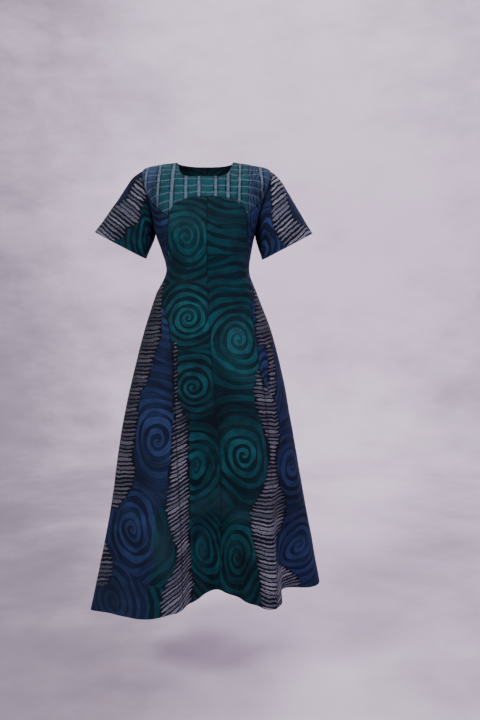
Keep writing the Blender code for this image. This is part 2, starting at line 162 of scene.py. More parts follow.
def closeGroup(kind="Float", **results):
    group = treeOf(results.values())
    for label in results:
        group.interface.new_socket(label, in_out="OUTPUT", socket_type="NodeSocket" + kind)
    setSockets(group.nodes.new("NodeGroupOutput").inputs, results)
    return group


def useGroup(name, inputs):
    return addNode("ShaderNodeGroup", inputs, node_tree=effects[name]).outputs


def linear(red, green, blue):
    shares = (value / 255.0 for value in (red, green, blue))
    return (*(s / 12.92 if s <= 0.04045 else ((s + 0.055) / 1.055) ** 2.4 for s in shares), 1.0)


def newMaterial(name):
    material = bpy.data.materials.new(name)
    material.use_nodes = True
    return material, material.node_tree.nodes["Principled BSDF"].inputs


def linked(name, data):
    item = bpy.data.objects.new(name, data)
    bpy.context.scene.collection.objects.link(item)
    return item


viewSettings = {
    "eye": (0.100, -2.510, -0.350),
    "pitchDown": 5.1,
    "lens": 42.5,
    "sensor": 36.0,
}


def makeCamera():
    data = bpy.data.cameras.new("camera")
    data.lens = viewSettings["lens"]
    data.sensor_width = viewSettings["sensor"]
    camera = linked("camera", data)
    camera.location = viewSettings["eye"]
    camera.rotation_euler = (math.radians(90.0 - viewSettings["pitchDown"]), 0.0, 0.0)
    bpy.context.scene.camera = camera


studio = {
    "floor": -1.520,
    "radius": 4.000,
    "bend": 1.000,  # radius of the curve between the floor and the wall
    "bendSteps": 16,
    "top": 4.500,
    "around": 96,
    "paper": ((0.240, 0.206, 0.252, 1.0), (0.668, 0.562, 0.700, 1.0)),
    "cloudSize": (0.8, 0.8, 1.5),
    "cloudContrast": 1.2,
    "glow": 0.35,
    "glowFrom": 1.2,  # metres from the middle of the room
    "glowTo": 3.6,
    "air": (0.900, 0.900, 0.960, 1.0),
    "airStrength": 0.12,
}


# A round room of pale paper, the same shape from all sides, with painted shade and a painted glow on its
# colour.
def makeBackdrop():
    floor, bend, count = studio["floor"], studio["bend"], studio["around"]
    bendStart = studio["radius"] - bend
    profile = [(0.001, floor), (bendStart * 0.5, floor)]
    for angle in np.linspace(0.0, math.pi / 2, studio["bendSteps"]):
        profile.append((bendStart + bend * math.sin(angle), floor + bend * (1.0 - math.cos(angle))))
    profile.append((studio["radius"], studio["top"]))
    turns = np.linspace(0.0, 2 * math.pi, count, endpoint=False)
    points = [(r * math.cos(turn), r * math.sin(turn), z) for r, z in profile for turn in turns]
    faces = []
    for first in range(0, count * (len(profile) - 1), count):
        for i in range(count):
            a, b = first + i, first + (i + 1) % count
            faces.append((a, b, b + count, a + count))
    data = bpy.data.meshes.new("backdrop")
    data.from_pydata(points, [], faces)
    data.shade_smooth()
    material, inputs = newMaterial("studio paper")
    place = addNode("ShaderNodeNewGeometry", {}, inputs[0].id_data).outputs["Position"]
    cloud = noiseAt(scaled(place, studio["cloudSize"]), 2.1, 5.0, 0.62)
    x, y, z = parts(place)
    away = calcVector("LENGTH", combined(x, y))
    fan = over(x, calc("MULTIPLY_ADD", away, 0.35, 0.40))
    # Painted shade: the paper is darker towards the left and the far right, and lighter about mid
    # height, over its own mottling.
    side = minus(ramp(fan, -1.25, 0.12, 0.0, 0.85), ramp(fan, 0.55, 1.0, 0.0, 0.24))
    middle = ramp(apart(z, 0.25), 1.2, 0.2, 0.0, 0.20)
    share = plus(swing(cloud, studio["cloudContrast"], side), middle)
    paper = mixColours(ramp(share, -0.1, 1.1), *studio["paper"])
    # Painted light: the paper glows more the further it is from the middle of the room, though it is no
    # lamp.
    glow = ramp(away, studio["glowFrom"], studio["glowTo"], 0.0, studio["glow"])
    setSockets(inputs, {
        "Base Color": paper, "Emission Color": paper, "Emission Strength": glow,
        "Roughness": 0.9, "Specular IOR Level": 0.05,
    })
    data.materials.append(material)
    linked("backdrop", data)


lamps = {
    # name: place, aims at, size, watts, colour
    "key": ((-2.3, -2.5, 1.5), (0.0, 0.0, -0.45), 0.9, 135.0, (1.0, 0.98, 0.96)),
    "fill": ((2.1, -2.5, 0.6), (0.0, 0.0, -0.6), 1.2, 46.0, (0.93, 0.95, 1.0)),
    "top": ((0.3, -0.6, 2.4), (0.0, 0.0, -0.6), 1.4, 34.0, (1.0, 1.0, 1.0)),
    "back": ((1.5, 2.7, 1.3), (0.0, 0.0, -0.5), 1.2, 42.0, (1.0, 0.99, 0.97)),
    "wall": ((0.3, 1.4, 3.2), (0.3, 4.0, -0.6), 2.4, 110.0, (0.97, 0.95, 1.0)),
}


def makeLights():
    for name, (place, aim, size, watts, colour) in lamps.items():
        data = bpy.data.lights.new(name, "AREA")
        data.size = size
        data.energy = watts
        data.color = colour
        lamp = linked(name, data)
        lamp.location = place
        lamp.visible_camera = False
        lamp.rotation_euler = (Vector(aim) - Vector(place)).to_track_quat("-Z", "Y").to_euler()
    world = bpy.data.worlds.new("studio air")
    world.use_nodes = True
    air = world.node_tree.nodes["Background"].inputs
    setSockets(air, {"Color": studio["air"], "Strength": studio["airStrength"]})
    bpy.context.scene.world = world


# A place on the body is (around, level). around: 0 centre front, 1 right side, -1 left side, 2 or -2
# centre back. level: distance down the cloth from the neckline.
sectionRow = namedtuple(
    "sectionRow", "level left right front back square dip taper", defaults=[(1.0, 1.0), 0.0]
)
foldRow = namedtuple("foldRow", "top hem width depth lean lift start")
bodyForm = {
    "sections": rowsOf(sectionRow, "square dip",
        (0, (-82, 0, 2), (80, 0, 3), (-70, -46), (60, -4), (7, 2.6), (0.286, 0.8), 16),
        (50, (-132, 0, -5), (131, 0, -6), (-80, -74), (80, -30), (2.8, 2.6), (1.1, 1.1)),
        (98, (-182, 0, -22), (189, 0, -24), (-91, -101), (94, -62), (2.7, 2.6), (1.2, 1.2)),
        (145, (-177, 0, -76), (183, 0, -79), (-103, -131), (103, -106), (2.5, 2.4)),
        (192, (-161, 0, -141), (163, 0, -145), (-114, -168), (106, -156), (2.4, 2.3)),
        (235, (-146, 0, -203), (143, 0, -207), (-121, -208), (103, -207), (2.3, 2.2)),
        (280, (-129, 0, -252), (133, 0, -256), (-116, -256), (94, -254), (2.2, 2.2)),
        (335, (-115, 0, -309), (127, 0, -312), (-104, -311), (86, -311), (2.2, 2.2)),
        (405, (-146, 0, -381), (150, 0, -379), (-112, -380), (104, -380), (2.1, 2.1)),
        (500, (-177, -3, -474), (187, 2, -474), (-125, -474), (134, -474), (2.1, 2.1)),
        (620, (-209, -10, -594), (220, 6, -594), (-135, -594), (164, -594), (2.1, 2.1)),
        (785, (-246, -25, -762), (253, 14, -760), (-147, -758), (197, -758), (2.1, 2.1)),
        (1020, (-282, -52, -1010), (299, 30, -1000), (-160, -995), (236, -995), (2.1, 2.1)),
        (1290, (-340, -90, -1302), (350, 50, -1256), (-166, -1275), (272, -1268), (2.1, 2.1))),
    # where the fold runs at its start and at the hem, half width, depth, lean to the right, lift, start
    "folds": rowsOf(foldRow, "top hem width",
        (-0.4, -0.47, 0.27, 58, 4, -2, 520), (0.08, 0.08, 0.19, -100, 0, 26, 440),
        (0.4, 0.42, 0.12, 54, 2, 4, 560), (0.62, 0.66, 0.15, -56, -24, 16, 640),
        (1.12, 1.16, 0.14, -34, 0, 8, 660), (-1.14, -1.18, 0.15, -28, 0, 6, 640),
        (1.36, 1.4, 0.14, 36, 0, -2, 560), (1.62, 1.66, 0.12, -52, 8, 12, 600),
        (1.88, 1.9, 0.13, 30, 0, 0, 540), (-1.88, -1.84, 0.11, -44, 0, 10, 620),
        (-1.62, -1.6, 0.14, 44, -6, -2, 520), (-1.4, -1.38, 0.11, -36, 0, 8, 660)),
    "foldGrowth": 1.5,
    # seams of the front, as x and z seen square on
    "seams": {
        "centre": metres((
            (8, -105), (7, -210), (8, -310), (13, -450), (26, -645), (42, -800), (50, -1000),
            (46, -1250))),
        "left": metres((
            (-99, -162), (-105, -230), (-107, -310), (-99, -480), (-84, -676), (-74, -872),
            (-66, -1050), (-62, -1260))),
        "right": metres((
            (118, -156), (121, -230), (121, -310), (134, -420), (151, -549), (174, -690),
            (196, -868), (201, -1050), (198, -1250))),
    },
    "archPower": 2.3,
    "archShoulder": 40.0,
    "armholeFront": 0.235,
    "armholeBack": 0.190,
    "yokeMeetsArmhole": math.radians(72.0),
    "quarterSteps": 160,
    "nudge": 0.002,
}
neckLevel = bodyForm["sections"][0].level
shoulderLevel = bodyForm["sections"][2].level
underarmLevel = bodyForm["sections"][5].level
hipLevel = bodyForm["sections"][9].level
hemLevel = bodyForm["sections"][-1].level
quarterSteps = bodyForm["quarterSteps"]
nudge = bodyForm["nudge"]


def unit(vectors):
    return vectors / np.linalg.norm(vectors, axis=-1, keepdims=True)


# How far along a line each of its points is, and the points at other distances along it.
def runAlong(line):
    return np.concatenate([[0.0], np.cumsum(np.linalg.norm(np.diff(line, axis=0), axis=1))])


def pointsAt(at, run, line):
    return np.stack([np.interp(at, run, line[:, k]) for k in range(3)], axis=-1)


def squareTo(vectors, along):
    return unit(vectors - along * (vectors * along).sum(axis=-1, keepdims=True))


# Values on the smooth curve through one value, or one row of values, at each knot.
def smoothThrough(knots, values, at):
    knots = np.asarray(knots, float)
    values = np.asarray(values, float)
    at = np.clip(at, knots[0], knots[-1])
    steps = np.diff(knots)
    slopes = np.diff(values, axis=0) / steps.reshape(-1, *([1] * (values.ndim - 1)))
    tangents = np.empty_like(values)
    tangents[0] = slopes[0]
    tangents[-1] = slopes[-1]
    for i in range(1, len(knots) - 1):
        tangents[i] = (steps[i] * slopes[i - 1] + steps[i - 1] * slopes[i]) / (steps[i] + steps[i - 1])
    index = np.clip(np.searchsorted(knots, at, side="right") - 1, 0, len(knots) - 2)
    span = steps[index]
    t = (at - knots[index]) / span
    if values.ndim == 3:  # a value for each place: pick each place's own column
        place = np.arange(len(at))
        below, above = values[index, place], values[index + 1, place]
        leave, arrive = tangents[index, place], tangents[index + 1, place]
    else:
        below, above = values[index], values[index + 1]
        leave, arrive = tangents[index], tangents[index + 1]
    t = t.reshape(-1, *([1] * (below.ndim - 1)))
    span = span.reshape(t.shape)
    return (
        (2 * t**3 - 3 * t**2 + 1) * below
        + (t**3 - 2 * t**2 + t) * span * leave
        + (3 * t**2 - 2 * t**3) * above
        + (t**3 - t**2) * span * arrive
    )


def quarter(side, middle, square, dip, taper=0.0):
    angle = np.linspace(0.0, math.pi / 2, 8 * quarterSteps)
    across = np.sin(angle) ** (2.0 / square)
    inward = np.cos(angle) ** (2.0 / square)
    halfWidth = side[0] - math.copysign(taper, side[0]) * inward
    points = np.stack(
        [
            halfWidth * across,
            side[1] + (middle[0] - side[1]) * inward,
            side[2] + (middle[1] - side[2]) * np.cos(angle) ** dip,
        ],
        axis=1,
    )
    run = runAlong(points)
    even = np.linspace(0.0, run[-1], quarterSteps + 1)
    return pointsAt(even, run, points)


def ring(row):
    frontLeft, frontRight = (
        quarter(side, row.front, row.square[0], row.dip[0], row.taper) for side in (row.left, row.right)
    )
    backLeft, backRight = (
        quarter(side, row.back, row.square[1], row.dip[1]) for side in (row.left, row.right)
    )
    return np.concatenate([backLeft[:-1], frontLeft[::-1][:-1], frontRight[:-1], backRight[::-1]])


rings = np.array([ring(row) for row in bodyForm["sections"]])
ringLevels = [row.level for row in bodyForm["sections"]]


def bodyWithoutFolds(around, level):
    column = ((np.asarray(around, float) + 2.0) % 4.0) * quarterSteps
    column = np.clip(column, 0, 4 * quarterSteps - 1e-9)
    first = column.astype(int)
    part = (column - first)[None, :, None]
    columns = rings[:, first] * (1 - part) + rings[:, first + 1] * part
    return smoothThrough(ringLevels, columns, np.asarray(level, float))


def body(around, level):
    around = np.asarray(around, float)
    level = np.asarray(level, float)
    points = bodyWithoutFolds(around, level)
    along = bodyWithoutFolds(around + nudge, level) - bodyWithoutFolds(around - nudge, level)
    along[:, 2] = 0.0
    along = unit(along)
    outward = np.stack([along[:, 1], -along[:, 0], np.zeros(len(along))], axis=1)
    for fold in bodyForm["folds"]:
        down = np.clip((level - fold.start) / (hemLevel - fold.start), 0.0, 1.0)
        aside = (around - fold.top - (fold.hem - fold.top) * down + 2.0) % 4.0 - 2.0
        shape = np.exp(-((aside / fold.width) ** 2)) * down ** bodyForm["foldGrowth"]
        pushed = outward * (fold.depth * shape)[:, None]
        points = points + pushed + along * (fold.lean * shape)[:, None]
        points[:, 2] += fold.lift * shape
    return points


def bodyNormals(around, level):
    along = body(around + nudge, level) - body(around - nudge, level)
    down = body(around, level + nudge) - body(around, level - nudge)
    return unit(np.cross(down, along))


def placeOnFront(x, z):
    across = np.linspace(-1.0, 1.0, 2 * quarterSteps + 1)
    level = -z
    for _ in range(30):
        line = bodyWithoutFolds(across, np.full(len(across), level))
        height = np.interp(x, line[:, 0], line[:, 2])
        level = float(np.clip(level + 0.8 * (height - z), 0.0, hemLevel))
    return float(np.interp(x, line[:, 0], across)), level


# Cloth metres: how far round the cloth each place is from the centre front, folds followed.
def makeClothTable():
    arounds = np.linspace(-2.0, 2.0, 801)
    levels = np.linspace(0.0, hemLevel, 130)
    table = []
    for level in levels:
        line = body(np.clip(arounds, -1.9999, 1.9999), np.full(len(arounds), level))
        run = runAlong(line)
        table.append(run - run[len(run) // 2])
    return np.array(table)


clothTable = makeClothTable()


def roundTheCloth(around, level):
    rows, columns = clothTable.shape
    column = np.clip((np.asarray(around) + 2.0) / 4.0 * (columns - 1), 0, columns - 1.001)
    row = np.clip(np.asarray(level) / hemLevel * (rows - 1), 0, rows - 1.001)
    c, r = column.astype(int), row.astype(int)
    a, b = column - c, row - r
    upper = clothTable[r, c] * (1 - a) + clothTable[r, c + 1] * a
    lower = clothTable[r + 1, c] * (1 - a) + clothTable[r + 1, c + 1] * a
    return upper * (1 - b) + lower * b


fineGrid = {
    "shoulderRows": 12,
    "aboveYokeSeam": 20,
    "belowYokeSeam": 30,
    "bodiceRows": 50,
    "skirtRows": 180,
    "centreColumns": 40,
    "archSideSteps": 12,
    "sideColumns": 46,
    "backColumns": 64,
    "sleeveRows": 56,
}


def spread(first, last, count, crowding=0.0):
    share = np.linspace(0.0, 1.0, count + 1)
    return first + (last - first) * ((1 - crowding) * share + crowding * share**2)


def seamLine(name, levels):
    places = np.array([placeOnFront(x, z) for x, z in bodyForm["seams"][name]])
    return np.stack([smoothThrough(places[:, 1], places[:, 0], levels), levels], axis=1)


def seamTop(name):
    return placeOnFront(*bodyForm["seams"][name][0])


def armhole(side, angles):
    middle = (shoulderLevel + underarmLevel) / 2
    half = (underarmLevel - shoulderLevel) / 2
    reach = np.where(np.sin(angles) > 0, bodyForm["armholeFront"], bodyForm["armholeBack"])
    return np.stack([side * (1.0 - reach * np.sin(angles)), middle - half * np.cos(angles)], axis=1)


def arch(side, start, end, count):
    endX, endZ = bodyForm["seams"][side][0]
    topX, topZ = bodyForm["seams"]["centre"][0]
    power = 2.0 / bodyForm["archPower"]
    places = []
    for angle in np.radians(spread(start, end, count)):
        x = endX + (topX - endX) * (1.0 - max(math.cos(angle), 0.0) ** power)
        places.append(placeOnFront(x, endZ + (topZ - endZ) * math.sin(angle) ** power))
    return np.array(places)


def archSide(side):
    return arch(side, 0.0, bodyForm["archShoulder"], fineGrid["archSideSteps"])


def archTop(side):
    return arch(side, bodyForm["archShoulder"], 90.0, fineGrid["centreColumns"])


def joined(*lines):
    return np.concatenate([lines[0]] + [line[1:] for line in lines[1:]])


def eased(count):
    even = np.linspace(0.0, 1.0, count + 1)
    crowded = (1.0 - np.cos(math.pi * even)) / 2
    return even + 0.35 * (crowded - even)


def fill(top, bottom, left, right):
    across = eased(len(top) - 1)[None, :, None]
    levels = left[:, 1] + right[:, 1]
    down = ((levels - levels[0]) / (levels[-1] - levels[0]))[:, None, None]
    sides = left[:, None, :] * (1 - across) + right[:, None, :] * across
    ends = top[None, :, :] * (1 - down) + bottom[None, :, :] * down
    corners = (
        (top[0] * (1 - down) + bottom[0] * down) * (1 - across)
        + (top[-1] * (1 - down) + bottom[-1] * down) * across
    )
    return sides + ends - corners


def between(start, end, count):
    share = eased(count)[:, None]
    return np.asarray(start) * (1 - share) + np.asarray(end) * share


shoulderSteps = spread(neckLevel, shoulderLevel, fineGrid["shoulderRows"])
aboveYokeSeam = spread(0.0, bodyForm["yokeMeetsArmhole"], fineGrid["aboveYokeSeam"])
belowYokeSeam = spread(bodyForm["yokeMeetsArmhole"], math.pi, fineGrid["belowYokeSeam"])
sideSeamLevels = joined(
    spread(underarmLevel, hipLevel, fineGrid["bodiceRows"]),
    spread(hipLevel, hemLevel, fineGrid["skirtRows"]),
)
longRows = fineGrid["belowYokeSeam"] + fineGrid["bodiceRows"] + fineGrid["skirtRows"]


def levelsFrom(top, rows):
    below = sideSeamLevels[10:]
    return joined(spread(top, below[0], rows + 1 - len(below)), below)


def lineDown(around, levels):
    return np.stack([np.full(len(levels), float(around)), levels], axis=1)


def yokePlaces():
    sides = {}
    for name, side in (("left", -1), ("right", 1)):
        corner = armhole(side, aboveYokeSeam)
        seam = between(corner[-1], seamTop(name), fineGrid["sideColumns"])
        sides[name] = joined(lineDown(side, shoulderSteps), corner, seam)
    halves = [joined(archSide(name), archTop(name)) for name in ("left", "right")]
    archEdge = joined(halves[0], halves[1][::-1])
    neckline = between((-1.0, neckLevel), (1.0, neckLevel), len(archEdge) - 1)
    return fill(neckline, archEdge, sides["left"], sides["right"])


def centrePlaces(name):
    princess = seamLine(name, levelsFrom(seamTop(name)[1], longRows))
    outer = joined(archSide(name)[::-1], princess)
    middle = seamLine("centre", levelsFrom(seamTop("centre")[1], len(outer) - 1))
    top = archTop(name)
    bottom = between(outer[-1], middle[-1], fineGrid["centreColumns"])
    if name == "left":
        return fill(top, bottom, outer, middle)
    return fill(top[::-1], bottom[::-1], middle, outer)


def sidePlaces(name, side):
    inner = seamLine(name, levelsFrom(seamTop(name)[1], longRows))
    outer = joined(armhole(side, belowYokeSeam), lineDown(side, sideSeamLevels))
    top = between(inner[0], outer[0], fineGrid["sideColumns"])
    bottom = between(inner[-1], outer[-1], fineGrid["sideColumns"])
    if side == 1:
        return fill(top, bottom, inner, outer)
    return fill(top[::-1], bottom[::-1], outer, inner)


def backPlaces(side):
    angles = 2 * math.pi - joined(aboveYokeSeam, belowYokeSeam)
    outer = joined(lineDown(side, shoulderSteps), armhole(side, angles), lineDown(side, sideSeamLevels))
    middle = lineDown(2 * side, outer[:, 1])
    top = between(middle[0], outer[0], fineGrid["backColumns"])
    bottom = between(middle[-1], outer[-1], fineGrid["backColumns"])
    if side == 1:
        return fill(top[::-1], bottom[::-1], outer, middle)
    return fill(top, bottom, middle, outer)


sleeveSection = namedtuple("sleeveSection", "along out under front back")
waveRow = namedtuple("waveRow", "turn width depth start")
sleeveForm = {
    "left": rowsOf(sleeveSection, "along",
        (0.22, (-210, -44), (-151.5, -219), 66, 62), (0.5, (-247, -96), (-159, -238), 69, 64),
        (0.75, (-283, -145), (-167, -256), 67, 63), (1, (-323, -199), (-176, -276), 68, 64)),
    "right": rowsOf(sleeveSection, "along",
        (0.22, (214, -46), (147.5, -223), 66, 62), (0.5, (246, -96), (153, -242), 69, 64),
        (0.75, (276, -146), (159, -260), 67, 63), (1, (311, -203), (166, -279), 68, 64)),
    # in degrees, turn 0 is the outer edge, 90 the front, 180 the underarm
    "waves": rowsOf(waveRow, "turn width start",
        (48, 20, 4, 0.3), (96, 18, -6, 0.15), (138, 16, 6, 0.2), (232, 20, 6, 0.2), (285, 20, -5, 0.25)),
    "wall": 0.0016,
    "gap": 0.0006,
    "firstStep": 0.01,
    "crowding": 0.3,
    # the seam allowance, turned in under the body's wall: how far out along it, and how deep
    "allowance": ((0.0070, 0.0028), (0.0030, 0.0027), (-0.0004, 0.0022)),
    "barWay": {"left": (-0.616, -0.788), "right": (0.669, -0.743)},
}


def sleeveRing(section, angles):
    out, under = np.array(section.out), np.array(section.under)
    middle, half = (out + under) / 2, (out - under) / 2
    deep = np.where(np.sin(angles) > 0, section.front, section.back)
    return np.stack(
        [
            middle[0] + half[0] * np.cos(angles),
            -deep * np.sin(angles),
            middle[1] + half[1] * np.cos(angles),
        ],
        axis=1,
    )


# The body's own way out from the armhole.
def awayFromArmhole(side, angles, edge):
    places = armhole(side, angles)
    away = places + nudge * unit(places - np.array([side, (shoulderLevel + underarmLevel) / 2]))
    return body(away[:, 0], away[:, 1]) - edge


def setBack(side, angles, edge, sleeveWay):
    along = unit(np.roll(edge, -1, axis=0) - np.roll(edge, 1, axis=0))
    bodyWay = squareTo(awayFromArmhole(side, angles, edge), along)
    sleeveWay = squareTo(sleeveWay, along)
    cosine = (bodyWay * sleeveWay).sum(axis=1)
    sine = np.sqrt(1.0 - cosine**2)
    half = sleeveForm["wall"] / 2
    turnedIn = (half * (1.0 + cosine) + sleeveForm["gap"]) / sine
    turnedOut = sleeveForm["gap"] + half * sine
    return np.where(cosine > 0, turnedIn, turnedOut)


def clothRun(net, axis):
    steps = np.linalg.norm(np.diff(net, axis=axis), axis=2)
    run = np.cumsum(steps, axis=axis)
    return np.concatenate([np.zeros_like(run[:1] if axis == 0 else run[:, :1]), run], axis=axis)


# The sleeve's net, its normals and how far each place is round from the outer edge and down the sleeve.
def sleeveNet(name, side):
    front = joined(aboveYokeSeam, belowYokeSeam)
    angles = np.concatenate([front, 2 * math.pi - front[::-1][1:-1]])
    places = armhole(side, angles)
    edge = body(places[:, 0], places[:, 1])
    knots = [0.0] + [section.along for section in sleeveForm[name]]
    sleeveRings = np.array([edge] + [sleeveRing(section, angles) for section in sleeveForm[name]])
    step = np.full(len(angles), sleeveForm["firstStep"])
    way = smoothThrough(knots, sleeveRings, step) - edge
    start = setBack(side, angles, edge, way) / np.linalg.norm(way, axis=1) * step
    net = []
    for share in spread(0.0, 1.0, fineGrid["sleeveRows"], sleeveForm["crowding"]):
        along = start + (1.0 - start) * share
        points = smoothThrough(knots, sleeveRings, along)
        middle = points.mean(axis=0)
        for wave in sleeveForm["waves"]:
            aside = (angles - math.radians(wave.turn) + math.pi) % (2 * math.pi) - math.pi
            grown = np.clip((along - wave.start) / (1.0 - wave.start), 0.0, 1.0)
            push = wave.depth * grown * np.exp(-((aside / math.radians(wave.width)) ** 2))
            points = points + unit(points - middle) * push[:, None]
        net.append(points)
    away = unit(awayFromArmhole(side, angles, edge))
    bodyOut = bodyNormals(places[:, 0], places[:, 1])
    turnedIn = [edge + away * out - bodyOut * deep for out, deep in sleeveForm["allowance"]]
    net = np.array(turnedIn + net)
    down = np.gradient(net, axis=0)
    along = np.roll(net, -1, axis=1) - np.roll(net, 1, axis=1)
    normals = -side * unit(np.cross(down, along))
    half = len(front) - 1
    order = np.roll(np.arange(len(angles)), -half)
    order = np.append(order, order[0])
    net, normals = net[:, order], normals[:, order]
    if side == 1:
        net, normals = net[:, ::-1], normals[:, ::-1]
    around = clothRun(net, 1)
    around = around - around[:, half : half + 1]
    downCloth = clothRun(net, 0)
    downCloth = downCloth - downCloth[len(turnedIn)]
    downCloth = downCloth * 0.5 + downCloth[:, half : half + 1] * 0.5
    return net, normals, -side * around, downCloth


creaseRow = namedtuple("creaseRow", "across down acrossEnd downEnd width depth")
relief = {
    "seamDip": 0.0011,
    "seamReach": 0.0035,
    "pucker": 0.00045,
    "puckerReach": 0.011,
    "puckerPitch": 0.017,
    "puckerUneven": 4.0,  # radians
    "puckerSize": 0.05,
    "flutes": 1.7,  # how much deeper than in the tables the front and back are creased
    "bend": 0.25,  # how far a crease wanders, as a share of its width
    "bendTurns": 7.0,
    "bendShift": 40.0,
    "ends": 0.6,
    "flutesEnd": 0.8,
    "widen": (0.75, 0.5),  # width at the start, and how much is added by the end
    "ripple": 0.0016,  # slow unevenness of hand-dyed cotton
    "rippleSize": 0.060,
    "wrinkle": 0.00060,
    "wrinkleSize": 0.016,
    "hemStep": 0.0004,
    # where each crease starts and ends: across from the centre front, down from the neckline
    "front": rowsOf(creaseRow, "",
        # drags from the right armhole over the yoke
        (205, 150, 120, 70, 7.5, -2.4), (198, 168, 132, 108, 7, -2), (210, 130, 150, 52, 6.5, 1.6),
        (190, 190, 140, 150, 8, -1.8),
        # the same, weaker, on the left
        (-195, 150, -125, 90, 8, -1.8), (-200, 175, -135, 135, 8, -1.6),
        (-205, 205, -130, 190, 9, 1.2),
        # drags across the bust and the waist
        (-170, 300, -60, 335, 12, -1.4), (-165, 340, -40, 352, 11, -1.3),
        (-180, 385, -80, 372, 12, -1.3), (180, 290, 70, 330, 12, -1.2),
        (175, 350, 50, 362, 11, -1.3), (190, 400, 90, 385, 12, -1.2), (-30, 300, 40, 372, 13, -0.9),
        (10, 395, -60, 455, 14, -1), (140, 450, 40, 480, 16, -1),
        # flutes of the skirt
        (-20, 520, -10, 1050, 19, -3.6), (60, 640, 70, 1290, 22, 3),
        (-75, 700, -72, 1290, 17, -4.2), (165, 760, 185, 1290, 17, -3.6),
        (262, 780, 270, 1290, 20, -4.6), (215, 860, 225, 1290, 18, 3),
        (-165, 780, -205, 1290, 23, 3.2), (-210, 700, -270, 1290, 21, -3.6),
        (-270, 860, -350, 1290, 24, -3), (330, 820, 410, 1290, 24, -3.4),
        (110, 980, 120, 1290, 16, -2.8), (-115, 1020, -130, 1290, 15, 2.6)),
    # across from the centre back seam
    "back": rowsOf(creaseRow, "",
        (-180, 140, -110, 100, 9, -1.6), (185, 150, 105, 115, 8.5, -1.8),
        (-150, 300, -30, 335, 12, -1.4), (160, 310, 40, 345, 12, -1.3),
        (-170, 375, -50, 365, 12, -1.4), (165, 392, 30, 378, 12, -1.2),
        (-90, 640, -130, 1290, 21, -3.6), (80, 600, 120, 1290, 22, -3.4),
        (-200, 760, -290, 1290, 23, 3.2), (190, 720, 280, 1290, 22, 3.4),
        (-290, 820, -410, 1290, 23, -3.4), (300, 860, 420, 1290, 24, -3.2),
        (-20, 900, -15, 1290, 17, 2.6)),
    # across from the outer edge, down from the armhole
    "sleeve": rowsOf(creaseRow, "",
        (205, 10, 120, 50, 8, -2.4), (215, 35, 150, 110, 8, -2.6), (175, 0, 105, 20, 7, 1.6),
        (225, 60, 190, 170, 9, 2.2), (60, 20, 75, 150, 12, -1.2), (-80, 20, -110, 160, 12, -1.6),
        (-190, 20, -150, 120, 10, -2.2)),
}


def creaseHeights(rows, across, down):
    height = np.zeros_like(across)
    for row in rows:
        start = np.array([row.across, row.down])
        way = np.array([row.acrossEnd, row.downEnd]) - start
        length = np.hypot(*way)
        along = ((across - start[0]) * way[0] + (down - start[1]) * way[1]) / length
        wander = along / length * relief["bendTurns"] + row.across * relief["bendShift"]
        bend = relief["bend"] * row.width * np.sin(wander)
        aside = ((down - start[1]) * way[0] - (across - start[0]) * way[1]) / length + bend
        share = np.clip(along / length, 0.0, 1.0)
        beyond = np.maximum(np.abs(along - length / 2) - length / 2, 0.0)
        fade = np.sin(math.pi * np.clip(share, 0.02, 0.98)) ** relief["ends"]
        if row.downEnd >= hemLevel - 0.001:  # a flute runs out at the hem, deepest there
            fade = share ** relief["flutesEnd"]
        spreadOut = row.width * (relief["widen"][0] + relief["widen"][1] * share)
        profile = np.exp(-((aside / spreadOut) ** 2))
        height += row.depth * fade * profile * np.exp(-((beyond / row.width) ** 2))
    return height


def noiseHeights(points, size, seed):
    offset = Vector((seed * 7.3, seed * 3.1, seed * 5.7))
    flat = (points / size).reshape(-1, 3)
    values = [noise.noise(Vector(point) + offset) for point in flat]
    return np.array(values).reshape(points.shape[:-1])


# How far each place is from the seams at its sides, and from its top and bottom edges.
def edgeDistances(net):
    fromLeft, fromTop = clothRun(net, 1), clothRun(net, 0)
    seams = np.minimum(fromLeft, fromLeft[:, -1:] - fromLeft)
    return seams, fromTop, fromTop[-1:] - fromTop


def reliefHeights(net, across, down, rows, seams, seed):
    height = relief["flutes"] * creaseHeights(rows, across, down)
    height += relief["ripple"] * noiseHeights(net, relief["rippleSize"], seed)
    height += relief["wrinkle"] * noiseHeights(net, relief["wrinkleSize"], seed + 3)
    uneven = relief["puckerUneven"] * noiseHeights(net, relief["puckerSize"], seed + 5)
    puckers = np.sin(down / relief["puckerPitch"] * 2 * math.pi + uneven)
    return height + relief["pucker"] * puckers * np.exp(-((seams / relief["puckerReach"]) ** 2))


# A band of ribs: its left and right borders at each distance down, and the line where its bars
# change their slope from rise, left of it, to riseRight.
bandRow = namedtuple("bandRow", "down left right turn", defaults=[0.0])
# Each band's bars have their own lightness, and bands by the sides and under the arms are dimmed, a
# painted shade.
ribBand = namedtuple("ribBand", "rise riseRight bright rows")


def band(rise, riseRight, bright, *rows):
    return ribBand(rise, riseRight, bright, rowsOf(bandRow, "", *rows))


